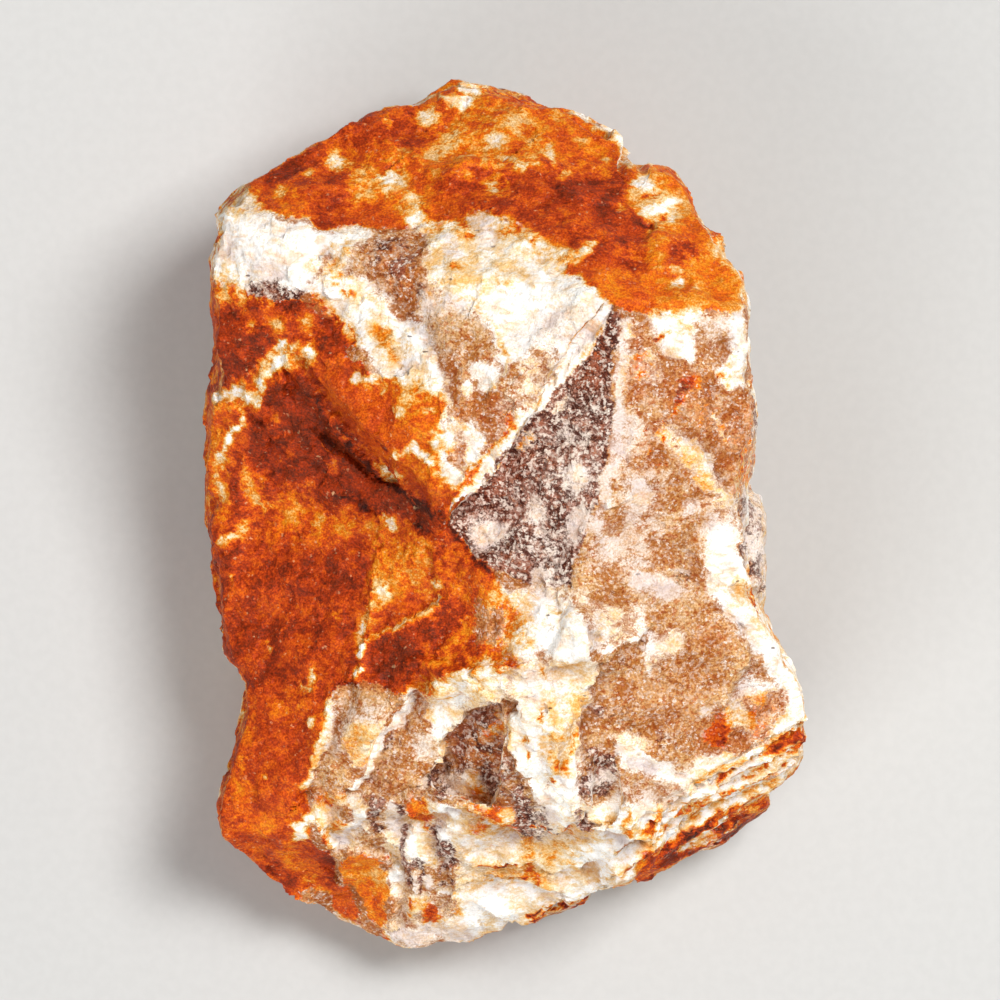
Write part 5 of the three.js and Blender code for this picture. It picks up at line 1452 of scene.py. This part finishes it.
def make_floor(colour):
    """A plain round floor, much wider than the view."""
    bpy.ops.object.select_all(action="DESELECT")
    bpy.ops.mesh.primitive_circle_add(
        vertices=FLOOR_CORNERS, radius=FLOOR_RADIUS, fill_type="NGON", location=(0, 0, 0)
    )
    floor = bpy.context.active_object
    floor.name = "floor"
    floor.data.materials.append(floor_material(colour))
    return floor


def make_light(name, power):
    """One of the square soft lights, facing the stone."""
    place, side, share = LIGHTS[name]
    bpy.ops.object.light_add(type="AREA", location=place)
    light = bpy.context.active_object
    light.name = name
    light.data.size = side
    light.data.energy = power * share
    light.rotation_euler = Vector(place).to_track_quat("Z", "Y").to_euler()


def make_sky(strength):
    """An even white light from all sides."""
    sky = bpy.data.worlds.new("sky")
    sky.use_nodes = True
    background = sky.node_tree.nodes["Background"]
    background.inputs["Color"].default_value = (1, 1, 1, 1)
    background.inputs["Strength"].default_value = strength
    return sky


def make_camera(view_width, lens):
    """A camera straight above the stone, with the crusted end at the top of its view."""
    bpy.ops.object.camera_add()
    camera = bpy.context.active_object
    camera.name = "camera"
    camera.data.lens = lens
    distance = view_width * lens / camera.data.sensor_width
    camera.location = Vector(VIEW_MIDDLE) * MM + Vector((0, 0, distance))
    camera.rotation_euler = (0, 0, 0)
    camera.data.clip_end = VIEW_END
    return camera


# ---------------------------------------------------------------- operators


class CALCITE_OT_stone(bpy.types.Operator):
    """Make the stone's fine, stained and weathered skin"""

    bl_idname = "calcite.stone"
    bl_label = "Stone"

    def execute(self, context):
        settings = context.scene.calcite_stone
        stone = fine_copy(frame["nodes"][STONE_NODE], "calcite_skin", settings.fineness)
        shares, lift = stained(stone)
        height = weather(stone, shares, lift)
        keep_colours(stone.data, shares)
        # The relief's height, which the material's painted light and shade follow.
        keep(stone.data, "painted_relief_shade", height)
        keep_fields(stone.data)
        thinned(stone, settings.most_triangles)
        stone.data.materials.append(calcite_material(settings))
        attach(stone, "root")
        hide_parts(STONE_NODE)
        return {"FINISHED"}


class CALCITE_OT_stage(bpy.types.Operator):
    """Lay the plain floor, hang the soft lights and set the camera straight above the stone"""

    bl_idname = "calcite.stage"
    bl_label = "Stage"

    def execute(self, context):
        scene = context.scene
        settings = scene.calcite_stage
        floor = make_floor(settings.floor_colour)
        for name in LIGHTS:
            make_light(name, settings.key_power)
        scene.world = make_sky(settings.sky_strength)
        scene.view_settings.view_transform = "Standard"
        scene.camera = make_camera(settings.view_width, settings.lens)
        return {"FINISHED"}


# ---------------------------------------------------------------- panel


class CALCITE_PT_panel(bpy.types.Panel):
    """Lists the stone and its stage"""

    bl_idname = "CALCITE_PT_panel"
    bl_label = "Raw orange calcite"
    bl_space_type = "VIEW_3D"
    bl_region_type = "UI"
    bl_category = "Calcite"

    def draw(self, context):
        for operator, settings in (("calcite.stone", "calcite_stone"), ("calcite.stage", "calcite_stage")):
            box = self.layout.box()
            box.operator(operator)
            group = getattr(context.scene, settings)
            for name in group.__annotations__:
                box.prop(group, name)


CLASSES = (StoneSettings, StageSettings, CALCITE_OT_stone, CALCITE_OT_stage, CALCITE_PT_panel)


def register():
    """Makes the settings, the operators and the panel known."""
    for part in CLASSES:
        bpy.utils.register_class(part)
    bpy.types.Scene.calcite_stone = bpy.props.PointerProperty(type=StoneSettings)
    bpy.types.Scene.calcite_stage = bpy.props.PointerProperty(type=StageSettings)


def unregister():
    """Takes back what register() did."""
    del bpy.types.Scene.calcite_stage
    del bpy.types.Scene.calcite_stone
    for part in reversed(CLASSES):
        bpy.utils.unregister_class(part)


def main():
    """Makes the stone and its stage."""
    register()
    bpy.ops.calcite.stone()
    bpy.ops.calcite.stage()


if __name__ == "__main__":
    main()
